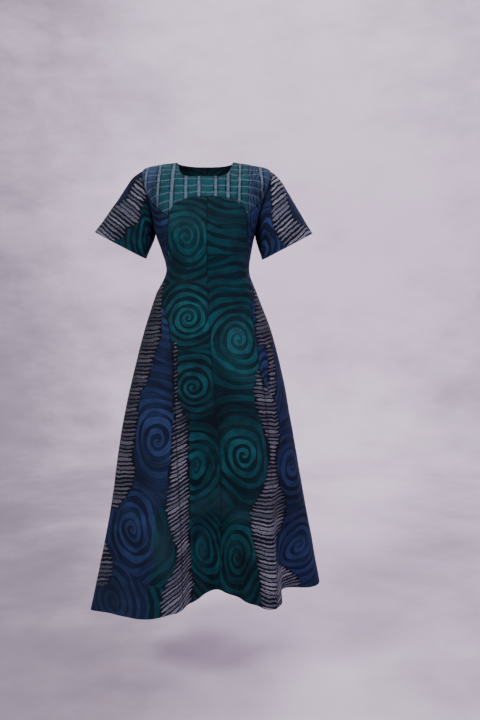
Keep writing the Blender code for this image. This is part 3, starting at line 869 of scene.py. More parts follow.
ribBands = {
    "front": (
        band(0.42, 0.42, 0.88,
             (540, -90, -77), (690, -88, -76), (715, -88, -68), (758, -90, -49), (842, -100, -50),
             (926, -114, -52), (996, -127, -54), (1037, -129, -57), (1072, -118, -59),
             (1109, -110, -59), (1153, -112, -57), (1192, -140, -60), (1235, -168, -50),
             (1320, -188, -74)),
        band(-0.16, 0.34, 0.84,
             (622, 150, 162, 205), (663, 142, 180, 205), (707, 145, 219, 205), (743, 152, 228, 215),
             (781, 171, 238, 225), (826, 195, 242, 235), (870, 207, 237, 240), (911, 195, 244, 245),
             (953, 176, 260, 250), (982, 157, 286, 255), (1022, 142, 299, 258),
             (1058, 145, 306, 260), (1101, 157, 300, 260), (1148, 171, 262, 260),
             (1200, 183, 250, 260), (1241, 193, 259, 260), (1320, 210, 256, 260)),
        band(0.1, 0.1, 0.8,
             (530, 177, 200), (566, 189, 225), (609, 193, 226), (651, 191, 225), (700, 187, 223)),
        band(0.1, 0.1, 0.62,
             (365, 170, 205), (423, 160, 216), (465, 155, 224), (509, 151, 235), (550, 160, 230)),
        band(0.1, 0.1, 0.6,
             (365, -210, -138), (449, -220, -131), (521, -235, -129), (592, -250, -151),
             (649, -265, -170), (680, -275, -190), (720, -290, -205), (767, -310, -206),
             (813, -325, -215), (865, -335, -227), (905, -345, -209), (946, -355, -230),
             (988, -360, -265), (1015, -350, -300)),
        band(0.1, 0.1, 0.62,
             (1100, -420, -355), (1154, -430, -323), (1192, -440, -330), (1228, -430, -362)),
        band(0.28, 0.28, 0.9,
             (1180, 262, 285), (1215, 256, 350), (1240, 256, 397), (1268, 256, 430),
             (1320, 256, 440)),
        band(0.1, 0.1, 0.55,
             (235, -215, -180), (300, -200, -168), (368, -200, -160)),
        band(0.1, 0.1, 0.55,
             (185, 205, 230), (300, 172, 196), (368, 168, 205)),
    ),
    "back": (
        band(0.25, 0.25, 0.76,
             (330, -105, -85), (420, -140, -90), (520, -175, -105), (620, -165, -125),
             (720, -170, -115), (820, -205, -130), (920, -200, -155), (1020, -225, -145),
             (1120, -260, -165), (1320, -265, -190)),
        band(-0.22, -0.22, 0.76,
             (300, 80, 100), (400, 85, 130), (500, 115, 155), (600, 110, 175), (700, 130, 180),
             (820, 135, 200), (940, 150, 235), (1060, 165, 220), (1180, 170, 265), (1320, 195, 280)),
        band(0.1, 0.1, 0.6,
             (600, -330, -275), (760, -380, -310), (900, -420, -350), (1010, -450, -400)),
        band(0.1, 0.1, 0.6,
             (640, 285, 330), (800, 320, 390), (960, 370, 430), (1060, 420, 460)),
    ),
    "left": (
        band(0, 0, 0.72,
             (-20, 20, 85), (10, 34, 113), (43, 49, 136), (70, 56, 142), (100, 50, 126),
             (125, 30, 115), (150, 8, 119), (180, -20, 112), (250, -50, 95)),
    ),
    "right": (
        band(0, 0, 1.2,
             (-30, 20, 50), (4, 12, 64), (19, 10, 92), (37, 8, 115), (56, 14, 128), (86, 50, 137),
             (121, 60, 134), (160, 56, 128), (190, 28, 123), (250, -10, 112)),
    ),
}


# A column of a table, read between its rows.
def columnAt(rows, name, down):
    return np.interp(down, [row.down for row in rows], [getattr(row, name) for row in rows])


# How far inside the nearest band each place is, and how far along that band's bars are counted.
def ribPlaces(bands, across, down, sleeveAlong=None):
    inside = np.full_like(across, -0.05)
    along = np.zeros_like(across)
    bright = np.full_like(across, bands[0].bright)
    for ribs in bands:
        left, right, turn = (columnAt(ribs.rows, name, down) for name in ("left", "right", "turn"))
        within = np.minimum(across - left, right - across)
        ends = np.minimum(down - ribs.rows[0].down, ribs.rows[-1].down - down)
        within = np.minimum(within, ends * 1.2)
        slant = np.where(across < turn, ribs.rise, ribs.riseRight) * (across - turn)
        counted = down + slant if sleeveAlong is None else sleeveAlong
        along = np.where(within > inside, counted, along)
        bright = np.where(within > inside, ribs.bright, bright)
        inside = np.maximum(within, inside)
    return inside, along, bright


# Where the dye is darkest, and painted shade in the folds, under the arms and by the armholes, as soft
# patches.
shadeRow = namedtuple("shadeRow", "across down wide tall strength")
darkDyeAndPaintedShade = {
    "front": rowsOf(shadeRow, "strength",
        (30, 760, 50, 90, 0.65), (-55, 745, 30, 60, 0.7), (120, 760, 70, 35, 0.5),
        (45, 560, 20, 100, 0.45), (30, 940, 25, 90, 0.45), (150, 990, 50, 40, 0.45),
        (60, 1080, 60, 60, 0.25), (125, 1165, 50, 95, 0.58), (-40, 1050, 30, 50, 0.15),
        (-90, 330, 40, 50, 0.45), (0, 150, 60, 40, 0.35), (120, 160, 50, 40, 0.25),
        (-90, 620, 20, 120, 0.5), (-190, 900, 60, 60, 0.35), (-220, 1180, 50, 40, 0.25),
        (-330, 1230, 120, 70, 0.48), (300, 1010, 60, 50, 0.45), (330, 800, 60, 90, 0.4),
        (240, 520, 50, 100, 0.45), (-200, 520, 60, 100, 0.45), (-170, 460, 45, 110, 0.45),
        (-250, 660, 60, 100, 0.45), (-190, 250, 40, 80, 0.5), (200, 270, 40, 80, 0.5),
        (-150, 165, 34, 50, 0.5), (-30, 600, 50, 60, 0.28)),
    "back": rowsOf(shadeRow, "strength",
        (0, 700, 40, 120, 0.5), (-120, 600, 50, 60, 0.45), (130, 720, 50, 60, 0.45),
        (20, 960, 50, 90, 0.5), (-160, 880, 60, 50, 0.45), (160, 1010, 60, 60, 0.45),
        (-330, 1080, 90, 60, 0.5), (360, 980, 80, 60, 0.5), (20, 200, 60, 50, 0.4),
        (-30, 410, 50, 50, 0.4)),
    "yoke_front": rowsOf(shadeRow, "strength",
        (-154, 113, 11, 34, 0.62), (-143, 158, 12, 22, 0.5), (150, 112, 13, 40, 0.45),
        (172, 140, 14, 30, 0.55), (40, 125, 20, 12, 0.25)),
    "sleeve_left": rowsOf(shadeRow, "strength",
        (240, 50, 50, 150, 0.8), (-230, 60, 60, 150, 0.6), (4, 60, 42, 110, 0.8),
        (130, 0, 30, 25, 0.5), (105, 150, 20, 20, 0.4)),
    "sleeve_right": rowsOf(shadeRow, "strength",
        (225, 40, 50, 120, 0.85), (-230, 60, 60, 150, 0.6), (120, -5, 30, 22, 0.5)),
}
# Where the print is paler, and painted highlights where light catches the cloth, as soft patches.
paleDyeAndPaintedHighlight = {
    "front": rowsOf(shadeRow, "strength",
        (95, 530, 40, 55, 0.4), (125, 640, 42, 32, 0.3), (-50, 200, 60, 50, 0.12),
        (110, 250, 70, 80, 0.2), (-230, 1050, 40, 50, 0.14), (-140, 820, 30, 50, 0.12),
        (390, 1150, 40, 50, 0.12), (-15, 1018, 36, 32, 0.8), (45, 1010, 34, 34, 0.8),
        (110, 1035, 40, 24, 0.5), (-150, 1110, 34, 80, 0.62), (-14, 1145, 20, 70, 0.6),
        (-325, 1250, 90, 55, 0.5), (-150, 960, 50, 30, 0.35)),
    "back": rowsOf(shadeRow, "strength",
        (60, 350, 50, 60, 0.2), (-70, 540, 40, 60, 0.22), (280, 870, 50, 60, 0.16),
        (-300, 950, 50, 70, 0.16)),
    "sleeve": rowsOf(shadeRow, "strength",
        (80, 90, 50, 50, 0.1)),
}


def shadePlaces(shades, name, kind, across, down):
    depth = np.zeros_like(across)
    for row in shades.get(name) or shades.get(kind) or shades["front"]:
        away = ((across - row.across) / row.wide) ** 2 + ((down - row.down) / row.tall) ** 2
        depth = np.maximum(depth, row.strength * np.exp(-away))
    return depth


# How far each place is into the teal: on the backs between the two bands, on a side front only in
# its patch of teal, and on the left sleeve below its ribs.
patchRow = namedtuple("patchRow", "down left right")
tealPatches = {
    "side_front_left": rowsOf(patchRow, "",
        (992, -140, -125), (1020, -152, -110), (1060, -166, -100), (1100, -172, -100),
        (1140, -176, -104), (1178, -186, -120), (1215, -202, -150), (1273, -214, -175),
        (1330, -218, -180)),
    "sleeve_left": rowsOf(patchRow, "",
        (-50, 95, 160), (43, 128, 186), (70, 134, 190), (100, 118, 198), (150, 110, 210),
        (250, 85, 225)),
    "back_left": rowsOf(patchRow, "",
        (-100, -100, 150), (300, -100, 90), (400, -100, 108), (600, -100, 142), (820, -100, 168),
        (940, -100, 192), (1060, -100, 192), (1180, -100, 218), (1330, -100, 238)),
    "back_right": rowsOf(patchRow, "",
        (-100, -150, 100), (330, -95, 100), (420, -115, 100), (520, -140, 100), (720, -142, 100),
        (820, -168, 100), (1020, -185, 100), (1120, -212, 100), (1330, -228, 100)),
}
wholePiece = 0.05


def tealPlaces(name, across, down):
    if name not in tealPatches:
        teal = name.startswith("centre") or name == "yoke_front"
        return np.full_like(across, wholePiece if teal else -wholePiece)
    rows = tealPatches[name]
    within = np.minimum(across - columnAt(rows, "left", down), columnAt(rows, "right", down) - across)
    return np.clip(np.minimum(within, down - rows[0].down), -wholePiece, wholePiece)


cloth = {
    "outer": 0.0008,  # from the middle of the wall
    "inner": 0.0003,
    "turning": 0.0007,  # more thickness where a hem is turned in
    "seamGap": 0.00002,
    "lowerDarkBelow": 0.14,  # how much darker the cloth is made lower down the skirt
    "lowerDarkFrom": 0.45,
    "lowerDarkOver": 0.55,
    "lowerDarkOnBars": 0.3,
    "barsAbove": 0.86,  # how light the bars are, and how much more in the lower skirt
    "barsGain": 0.40,
    "barsFrom": 1.0,
    "barsOver": 0.15,
    "hemRise": 0.35,
    "leftAtSide": 0.15,  # share of the creases that crosses the side seams
    "seamFade": 0.030,
    "armholeFade": 0.016,
    "turnedStep": 0.004,
    "sleeveSeamFade": 0.012,
    "sharpAngle": 55.0,
}
# name: edges that are seams, edges that are turned in, depth of the turning
pieceEdges = {
    "yoke_front": ("bottom", "top", 0.007),
    "centre_front": ("top", "bottom", 0.025),
    "side_front": ("top", "bottom", 0.025),
    "back": ("none", "bottom", 0.025),
    "sleeve": ("top", "bottom", 0.020),
}
made = {}


def smoothStep(values):
    values = np.clip(values, 0.0, 1.0)
    return values * values * (3 - 2 * values)


def drawnIn(net, normals, amount):
    down = unit(np.gradient(net, axis=0))
    right = unit(np.gradient(net, axis=1))
    fromSide = unit(np.cross(normals, down))
    fromTop = unit(np.cross(right, normals))
    moved = net.copy()
    moved[0] += amount * fromTop[0]
    moved[-1] -= amount * fromTop[-1]
    moved[:, 0] += amount * fromSide[:, 0]
    moved[:, -1] -= amount * fromSide[:, -1]
    return moved


def gridFaces(rows, columns, tube):
    vertexColumns = columns - 1 if tube else columns
    r, c = np.meshgrid(np.arange(rows - 1), np.arange(columns - 1), indexing="ij")
    r, c = r.ravel(), c.ravel()
    corners = ((r, c), (r + 1, c), (r + 1, c + 1), (r, c + 1))
    places = np.stack([a * columns + b for a, b in corners], axis=1)
    vertices = np.stack([a * vertexColumns + b % vertexColumns for a, b in corners], axis=1)
    return vertices, places


def gridBorder(rows, columns, tube):
    last = columns - 1
    top = [(0, c) for c in range(columns)]
    bottom = [(rows - 1, c) for c in range(last, -1, -1)]
    if tube:
        return [top, bottom]
    left = [(r, 0) for r in range(rows - 2, 0, -1)]
    right = [(r, last) for r in range(1, rows - 1)]
    return [top + right + bottom + left]


def clothMesh(name, outer, inner, across, down, fields, tube):
    rows, columns = across.shape
    vertexColumns = columns - 1 if tube else columns
    count = rows * vertexColumns
    points = np.concatenate([skin[:, :vertexColumns].reshape(-1, 3) for skin in (outer, inner)])
    vertices, places = gridFaces(rows, columns, tube)
    faces = [vertices, vertices[:, ::-1] + count]
    placeFaces = [places, places[:, ::-1]]
    for border in gridBorder(rows, columns, tube):
        closing = [] if tube else border[:1]
        steps = list(zip(border, border[1:] + closing))
        vertex = np.array([[a * vertexColumns + b % vertexColumns for a, b in pair] for pair in steps])
        place = np.array([[a * columns + b for a, b in pair] for pair in steps])
        start, end = vertex.T
        faces.append(np.stack([start, end, end + count, start + count], axis=1))
        placeFaces.append(place[:, [0, 1, 1, 0]])
    faces, placeFaces = np.concatenate(faces), np.concatenate(placeFaces)
    first, second, third = (points[vertices[:, i]] for i in range(3))
    outward = np.cross(second - first, third - first) * (first - points[vertices[:, 0] + count])
    if outward.sum() < 0.0:  # every face looks out of the cloth
        faces, placeFaces = faces[:, ::-1], placeFaces[:, ::-1]
    mesh = bpy.data.meshes.new(name + "_cloth")
    mesh.from_pydata(points.tolist(), [], faces.tolist())
    layer = mesh.uv_layers.new(name="cloth")
    flat = np.stack([across.ravel(), -down.ravel()], axis=1)
    layer.data.foreach_set("uv", flat[placeFaces.ravel()].ravel())
    for label, values in fields.items():
        values = np.concatenate([skin[:, :vertexColumns].reshape(-1, 3) for skin in values])
        field = mesh.attributes.new(label, "FLOAT_VECTOR", "POINT")
        field.data.foreach_set("vector", values.ravel())
    mesh.shade_smooth()
    mesh.set_sharp_from_angle(angle=math.radians(cloth["sharpAngle"]))
    return mesh


def clothPiece(name, net, normals, across, down, height, bands, sleeveAlong=None, flat=None):
    tube = sleeveAlong is not None
    kind = name.removesuffix("_left").removesuffix("_right")
    seamEdge, turnedEdge, turning = pieceEdges[kind]
    seams, fromTop, fromBottom = edgeDistances(net)
    if tube:  # the armhole seam is where the allowance ends
        fromTop = np.abs(fromTop - fromTop[len(sleeveForm["allowance"])])
    if seamEdge != "none":
        seams = np.minimum(seams, fromTop if seamEdge == "top" else fromBottom)
    finished = fromTop if turnedEdge == "top" else fromBottom
    if kind == "back":
        finished = np.minimum(fromTop * turning / pieceEdges["yoke_front"][2], finished)
    height = height - relief["seamDip"] * np.exp(-((seams / relief["seamReach"]) ** 2))
    turned = 1.0 - smoothStep((finished - turning) / cloth["turnedStep"])
    height = height + cloth["hemRise"] * relief["hemStep"] * turned
    outer = net + normals * (cloth["outer"] + height)[..., None]
    inner = net + normals * (height - cloth["inner"] - cloth["turning"] * turned)[..., None]
    inside, along, bright = ribPlaces(bands, across, down, sleeveAlong)
    teal = tealPlaces(name, across, down)
    printed = np.stack([inside, along, teal], axis=-1)
    edges = [
        np.stack([seams, finished - turning, np.full_like(seams, skin)], axis=-1) for skin in (0.0, 1.0)
    ]
    # Dark patches hold painted shade as well as dark dye; pale patches hold a painted highlight as well
    # as paler print.
    dark, pale = (shadePlaces(shades, name, kind, across, down) for shades in (darkDyeAndPaintedShade, paleDyeAndPaintedHighlight))
    if not tube:
        lowerDark = smoothStep((down - cloth["lowerDarkFrom"]) / cloth["lowerDarkOver"])
        lowerDark = cloth["lowerDarkBelow"] * lowerDark * np.where(inside > 0.0, cloth["lowerDarkOnBars"], 1.0)
        dark += (1.0 - dark) * lowerDark
        lower = smoothStep((down - cloth["barsFrom"]) / cloth["barsOver"])
        bright = bright * (cloth["barsAbove"] + cloth["barsGain"] * lower)
    # tone: the bars' lightness, the dark patches and the pale patches, each with painted shade or
    # highlight in it.
    tone = np.stack([bright, dark, pale], axis=-1)
    fields = {"print": (printed, printed), "tone": (tone, tone), "edges": edges}
    mesh = clothMesh(name, outer, inner, *(flat or (across, down)), fields, tube)
    piece = linked(name + "_cloth", mesh)
    mesh.materials.append(batik(name))
    cells = np.cross(np.diff(net, axis=0)[:, :-1], np.diff(net, axis=1)[:-1])
    area = np.linalg.norm(cells, axis=2).sum()
    made[name] = {
        "piece": piece, "outer": outer, "normals": normals, "area": float(area), "across": across,
        "down": down, "fromTop": fromTop, "fromBottom": fromBottom,
    }
    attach(piece, "root")
    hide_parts(name)
    print("cloth", name, len(mesh.polygons), "faces, area", round(float(area), 3))


armholePoints = {}
for armSide in (-1, 1):
    armAngles = np.linspace(0.0, 2 * math.pi, 160)
    armPlaces = armhole(armSide, armAngles)
    armholePoints[armSide] = body(armPlaces[:, 0], armPlaces[:, 1])


def armholeFade(net):
    nearest = np.full(net.shape[:2], 1.0)
    for points in armholePoints.values():
        for row in range(len(net)):
            away = np.linalg.norm(net[row][:, None, :] - points[None, :, :], axis=2).min(axis=1)
            nearest[row] = np.minimum(nearest[row], away)
    return smoothStep(nearest / cloth["armholeFade"])


def bodyPiece(name, places):
    around, level = places.reshape(-1, 2).T
    net = body(around, level).reshape(*places.shape[:2], 3)
    normals = bodyNormals(around, level).reshape(net.shape)
    net = drawnIn(net, normals, cloth["seamGap"])
    around, level = places[..., 0], places[..., 1]
    run = roundTheCloth(around, level)
    side = np.abs(run - roundTheCloth(np.sign(around), level))
    bands, rows = ribBands["front"], relief["front"]
    if name.startswith("back"):
        run = run - roundTheCloth(np.sign(around) * 1.9999, level)
        bands, rows = ribBands["back"], relief["back"]
    seams = edgeDistances(net)[0]
    height = reliefHeights(net, run, level, rows, seams, 1)
    least = cloth["leftAtSide"]
    height *= armholeFade(net) * (least + (1.0 - least) * smoothStep(side / cloth["seamFade"]))
    flat = None
    if name == "yoke_front":  # its plaid runs straight over the shoulders
        flat = (net[..., 0], -net[..., 2] - plaid["overShoulder"] * (net[..., 1] + plaid["frontDepth"]))
    clothPiece(name, net, normals, run, level, height, bands, flat=flat)


def sleevePiece(name, side):
    sideName = name.removeprefix("sleeve_")
    net, normals, across, down = sleeveNet(sideName, side)
    seams = edgeDistances(net)[0]
    height = reliefHeights(net, across, down, relief["sleeve"], seams, 2)
    height = height * smoothStep(down / cloth["armholeFade"])
    wrapped = smoothStep(seams / cloth["sleeveSeamFade"])
    height = height * wrapped + height[:, :1] * (1 - wrapped)
    way = sleeveForm["barWay"][sideName]
    along = net[..., 0] * way[0] + net[..., 2] * way[1]
    bands = ribBands[sideName]
    clothPiece(name, net, normals, across, down, height, bands, sleeveAlong=along)


thread = {
    "pitch": 0.0038,
    "length": 0.0026,
    "radius": 0.00024,
    "lift": (0.7, -0.35),  # the thread's height over the cloth: middle of a stitch, and its ends
    "ahead": 0.001,
    "sides": 6,
    # along a stitch: share of its length, share of its radius
    "profile": ((0.0, 0.25), (0.12, 0.8), (0.5, 1.0), (0.88, 0.8), (1.0, 0.25)),
}


# The line on the outer skin at a distance from an edge of a piece.
def lineOnPiece(name, distances, at):
    points, normals = [], []
    for across in range(distances.shape[1]):
        order = np.argsort(distances[:, across])
        away = distances[order, across]
        for lines, key in ((points, "outer"), (normals, "normals")):
            lines.append(pointsAt(at, away, made[name][key][order, across]))
    return np.array(points), unit(np.array(normals))


def stitchMesh(lines):
    points, faces = [], []
    sides, radius, rings = thread["sides"], thread["radius"], len(thread["profile"])
    turns = np.arange(sides) / sides * 2 * math.pi
    for line, normals in lines:
        run = runAlong(line)
        for start in np.arange(thread["pitch"], run[-1] - thread["pitch"], thread["pitch"]):
            first = len(points)
            for share, size in thread["profile"]:
                at = start + share * thread["length"]
                middle, normal = pointsAt(at, run, line), pointsAt(at, run, normals)
                ahead = pointsAt(at + thread["ahead"], run, line) - middle
                aside = unit(np.cross(normal, ahead))
                normal = unit(normal)
                middle = middle + normal * radius * (thread["lift"][0] * size + thread["lift"][1])
                for turn in turns:
                    way = aside * math.cos(turn) + normal * math.sin(turn)
                    points.append(middle + way * radius * size)
            for low in range(first, first + (rings - 1) * sides, sides):
                for k in range(sides):
                    a, b = low + k, low + (k + 1) % sides
                    faces.append((a, b, b + sides, a + sides))
            faces.append(tuple(range(first + sides - 1, first - 1, -1)))
            faces.append(tuple(range(first + (rings - 1) * sides, first + rings * sides)))
    return points, faces


def stitchPiece(name, lines):
    points, faces = stitchMesh(lines)
    mesh = bpy.data.meshes.new(name)
    mesh.from_pydata([tuple(point) for point in points], [], faces)
    mesh.shade_smooth()
    mesh.materials.append(threadMaterial)
    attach(linked(name, mesh), "root")
    print("sewing", name, len(mesh.polygons), "faces")


# Keeps the nearer of two spirals: x and y from its centre, and how far that is.
def makeNearerSpiral():
    given = newGroup("nearer spiral", ("place", "nearest", "centre", "turn", "size"))
    names = {"Vector": "place", "Location": "centre", "Rotation": "turn", "Scale": "size"}
    inputs = {socket: given[name] for socket, name in names.items()}
    local = addNode("ShaderNodeMapping", inputs, vector_type="TEXTURE").outputs[0]
    x, y, _ = parts(local)
    away = calcVector("LENGTH", combined(x, y))
    nearer = calc("LESS_THAN", away, parts(given["nearest"])[2])
    inputs = {0: nearer, 4: given["nearest"], 5: combined(x, y, away)}
    return closeGroup("Vector", nearest=addNode("ShaderNodeMix", inputs, data_type="VECTOR").outputs[1])


brush = {
    "pitch": 0.0158,
    "growth": 0.90,  # below 1 the turns grow wider outward
    "wobble": 0.60,
    "width": 0.44,
    "widthChange": 0.62,
    "fray": 0.10,
    "edge": 0.060,
    "rim": 0.12,
    "hairline": 0.045,
    "washPitch": 0.041,
    "outlying": (0.045, 0.110),  # metres from the centre where the arcs go over to the plain cloth
}


# A spiral drawn with a wide brush, going on as arcs out to where the next spiral starts.
def makeBrushedSpiral():
    given = newGroup("brushed spiral", ("spiral", "cloth"))
    at = given["cloth"]
    x, y, away = parts(given["spiral"])
    angle = over(calc("ARCTAN2", y, x), 2 * math.pi)
    uneven = swing(noiseAt(at, 13.0, 0.0), brush["wobble"])
    grown = calc("POWER", over(away, brush["pitch"]), brush["growth"])
    phase = fromMiddle(plus(minus(grown, angle), uneven))
    load = noiseAt(scaled(at, (1.0, 1.6, 1.0)), 16.0, 0.6)
    width = swing(load, brush["widthChange"], brush["width"] / 2)
    inward = plus(minus(width, phase), swing(noiseAt(at, 420.0), brush["fray"]))
    stroke = ramp(inward, -brush["edge"], brush["edge"])
    rim = minus(stroke, ramp(inward, brush["edge"], brush["rim"]))
    sometimes = ramp(noiseAt(at, 11.0), 0.46, 0.54)
    hairline = times(ramp(minus(0.5, phase), brush["hairline"], 0.0), sometimes)
    strength = ramp(noiseAt(at, 8.5), 0.34, 0.56, 0.60, 1.0)
    broad = minus(over(away, brush["washPitch"]), angle)
    wash = ramp(fromMiddle(calc("MULTIPLY_ADD", uneven, 0.8, broad)), 0.27, 0.12)
    wash = times(wash, ramp(noiseAt(at, 6.0), 0.40, 0.56))
    return closeGroup(
        stroke=times(stroke, strength), rim=times(rim, strength), hairline=hairline, wash=wash,
        outlying=ramp(away, *brush["outlying"]),
    )


bars = {
    "pitch": 0.0114,
    "wave": 0.011,
    "width": 0.55,
    "widthChange": 0.40,
    "taper": 0.013,
    "ragged": 0.010,
    "fray": 0.34,
    "edge": 0.045,
    "ground": 0.004,
    "core": 0.10,
}


# Pale bars side by side across a dark band, each with its own length and width.
def makeRibBars():
    given = newGroup("rib bars", ("cloth",), ("inside", "along"))
    at, inside = given["cloth"], given["inside"]
    wave = noiseAt(at, 26.0)
    count = over(swing(wave, bars["wave"], given["along"]), bars["pitch"])
    number = calc("FLOOR", count)
    chance, other = (
        addNode("ShaderNodeTexWhiteNoise", {"W": seed}, noise_dimensions="1D").outputs[0]
        for seed in (number, plus(number, 31.5))
    )
    shift = times(minus(chance, 0.35), bars["ragged"])
    room = calc("POWER", calc("DIVIDE", minus(inside, shift), bars["taper"], clamp=True), 0.45)
    width = times(swing(other, bars["widthChange"], bars["width"]), 0.5)
    half = plus(times(width, room), swing(noiseAt(at, 330.0, 3.0), bars["fray"]))
    inward = minus(half, fromMiddle(count))
    bar = times(ramp(inward, -bars["edge"], bars["edge"]), ramp(room, 0.02, 0.25))
    ground = ramp(swing(wave, 0.02, inside), -bars["ground"], bars["ground"] * 0.6)
    streaks = noiseAt(scaled(at, (1.0, 3.0, 1.0)), 190.0, 4.0, 0.7)
    return closeGroup(
        bar=bar, core=ramp(inward, bars["core"], bars["core"] * 2.0), ground=ground,
        scratch=ramp(swing(chance, 0.16, streaks), 0.38, 0.62),
    )


# Unevenly taken dye: slow patches, and the fine dark veins where wax has cracked.
def makeDye():
    at = newGroup("hand dye", ("cloth",))["cloth"]
    slow, middle = (noiseAt(at, size, 3.0, 0.6) for size in (7.0, 38.0))
    patches = calc("MULTIPLY_ADD", middle, 0.4, times(slow, 0.6))
    bent = calcVector("MULTIPLY_ADD", noiseAt(at, 60.0, output=1), (0.02,) * 3, at)
    inputs = {"Vector": bent, "Scale": 42.0}
    cells = addNode("ShaderNodeTexVoronoi", inputs, feature="DISTANCE_TO_EDGE").outputs["Distance"]
    veins = times(ramp(cells, 0.035, 0.0), ramp(noiseAt(at, 17.0, 1.0), 0.52, 0.66))
    specks = ramp(noiseAt(at, 520.0), 0.60, 0.75)
    return closeGroup(patches=ramp(patches, 0.34, 0.66), veins=veins, specks=specks)


# Plain weave, slubs and dry creases, as one height.
def makeWeave():
    at = newGroup("plain weave", ("cloth",))["cloth"]
    sizes = ((1400.0, 120.0, 1.0), (120.0, 1400.0, 1.0))
    threads = plus(*(noiseAt(scaled(at, size), 1.0, 1.0) for size in sizes))
    return closeGroup(height=calc("MULTIPLY_ADD", noiseAt(at, 95.0, 5.0, 0.6), 1.6, threads))


lineRow = namedtuple("lineRow", "across width lean")
plaid = {
    # painted bands, square on from the front
    "bands": rowsOf(lineRow, "lean",
        (-167, 8, 0.05), (-130, 8.5, 0.03), (-90.6, 9.5, 0.02), (-52.5, 8.5, 0), (-16, 8.5, 0),
        (31.6, 8.5, 0), (66.4, 9.5, 0), (100, 8, 0.02), (160, 8.5, -0.06)),
    "overShoulder": 0.7,
    "frontDepth": 0.09,
    "fray": 0.004,
    "bandSway": 0.005,
    "rows": 0.0265,
    "rowWidth": 0.10,
    "rowSway": 0.022,
    "thinRows": 0.0125,
    "thinSway": 0.012,
    "tealMiddle": -0.0075,
    "navyBeyond": 0.1295,
    "scribbleAt": 0.137,
    "scribbleHalf": 0.018,
    "scribblePitch": 0.0080,
    "scribbleSway": 0.050,
}


# The yoke's plaid: wide painted bands down, thin wavy lines across, and thin dark lines between.
def makePlaid():
    at = newGroup("painted plaid", ("cloth",))["cloth"]
    x, y, _ = parts(at)
    sway = minus(noiseAt(at, 16.0), 0.5)
    fray = swing(noiseAt(at, 300.0, 3.0), plaid["fray"])
    light = drawn = 0.0
    for row in plaid["bands"]:
        away = apart(x, calc("MULTIPLY_ADD", y, row.lean, row.across))
        away = plus(calc("MULTIPLY_ADD", sway, plaid["bandSway"], away), fray)
        light = greater(light, ramp(away, row.width * 0.50, row.width * 0.26))
        drawn = greater(drawn, ramp(apart(away, row.width * 0.72), 0.0024, 0.0006))
    rowAway = fromMiddle(over(calc("MULTIPLY_ADD", sway, plaid["rowSway"], y), plaid["rows"]))
    rowAway = calc("MULTIPLY_ADD", fray, 14.0, rowAway)
    light = greater(light, times(ramp(rowAway, plaid["rowWidth"], 0.04), 0.75))
    light = times(light, ramp(noiseAt(at, 120.0, 3.0), 0.30, 0.60, 0.35, 1.0))
    thin = fromMiddle(over(calc("MULTIPLY_ADD", sway, plaid["thinSway"], y), plaid["thinRows"]))
    dark = greater(times(ramp(thin, 0.09, 0.03), 0.7), drawn)
    broken = ramp(noiseAt(at, 34.0), 0.42, 0.58)
    dark = times(dark, calc("MULTIPLY_ADD", broken, 0.75, 0.25))
    half = plaid["scribbleHalf"]
    scribble = ramp(apart(x, plaid["scribbleAt"]), half, half * 0.6)
    strokes = over(calc("MULTIPLY_ADD", sway, plaid["scribbleSway"], x), plaid["scribblePitch"])
    strokes = times(ramp(fromMiddle(strokes), 0.22, 0.10), 0.75)
    wide = calc("MULTIPLY_ADD", sway, 0.02, apart(x, plaid["tealMiddle"]))
    navy = ramp(wide, plaid["navyBeyond"], plaid["navyBeyond"] + 0.006)
    return closeGroup(light=light, dark=greater(dark, times(scribble, strokes)), navy=navy)


effects = {
    "nearer": makeNearerSpiral(),
    "spiral": makeBrushedSpiral(),
    "bars": makeRibBars(),
    "dye": makeDye(),
    "weave": makeWeave(),
    "plaid": makePlaid(),
}

dyes = {
    "teal": (linear(8, 42, 49), linear(24, 76, 82)),
    "deepTeal": linear(4, 34, 43),
    "yokeTeal": (linear(12, 46, 53), linear(24, 66, 73)),
    "navy": (linear(25, 38, 68), linear(37, 53, 91)),
    "deepNavy": linear(18, 29, 54),
    "stroke": linear(4, 9, 18),
    "tealStroke": linear(1, 16, 25),
    "navyStroke": linear(7, 13, 29),
    "bar": (linear(56, 58, 72), linear(142, 141, 154)),
    "ribGround": linear(9, 11, 21),
    "band": linear(90, 99, 116),
    "paleTint": linear(44, 60, 70),
    "thread": linear(14, 34, 46),
}
# How strongly each layer covers what lies under it, and how the finished cloth shines.
layers = {
    "outlying": 0.65,
    "wash": 0.55,
    "stroke": 0.88,
    "spentStroke": -0.40,
    "rim": 0.60,
    "hairline": 0.55,
    "core": 0.35,
    "bar": 0.88,
    "yokeWorn": 0.45,
    "band": 0.80,
    "bandOutline": 0.45,
    "pale": 0.30,
    "veins": 0.35,
    "specks": 0.14,
    "paintedSeamShadeCentre": 0.42,
    "paintedSeamShade": 0.62,
    "hemLine": 0.5,
    "inside": 0.25,
    "sway": (0.026, 0.026, 0.0),
    "border": (0.010, 0.0012),  # how far the teal's border wanders, and its softness
    "seamShade": (0.0042, 0.0008),
    "hemReach": 0.0022,
    "rough": 0.74,
    "patchy": 0.08,
}
weaveBump = {"Strength": 0.30, "Distance": 0.0006}
finish = {
    "IOR": 1.42,
    "Specular IOR Level": 0.09,
    "Sheen Weight": 0.010,
    "Sheen Roughness": 0.45,
}

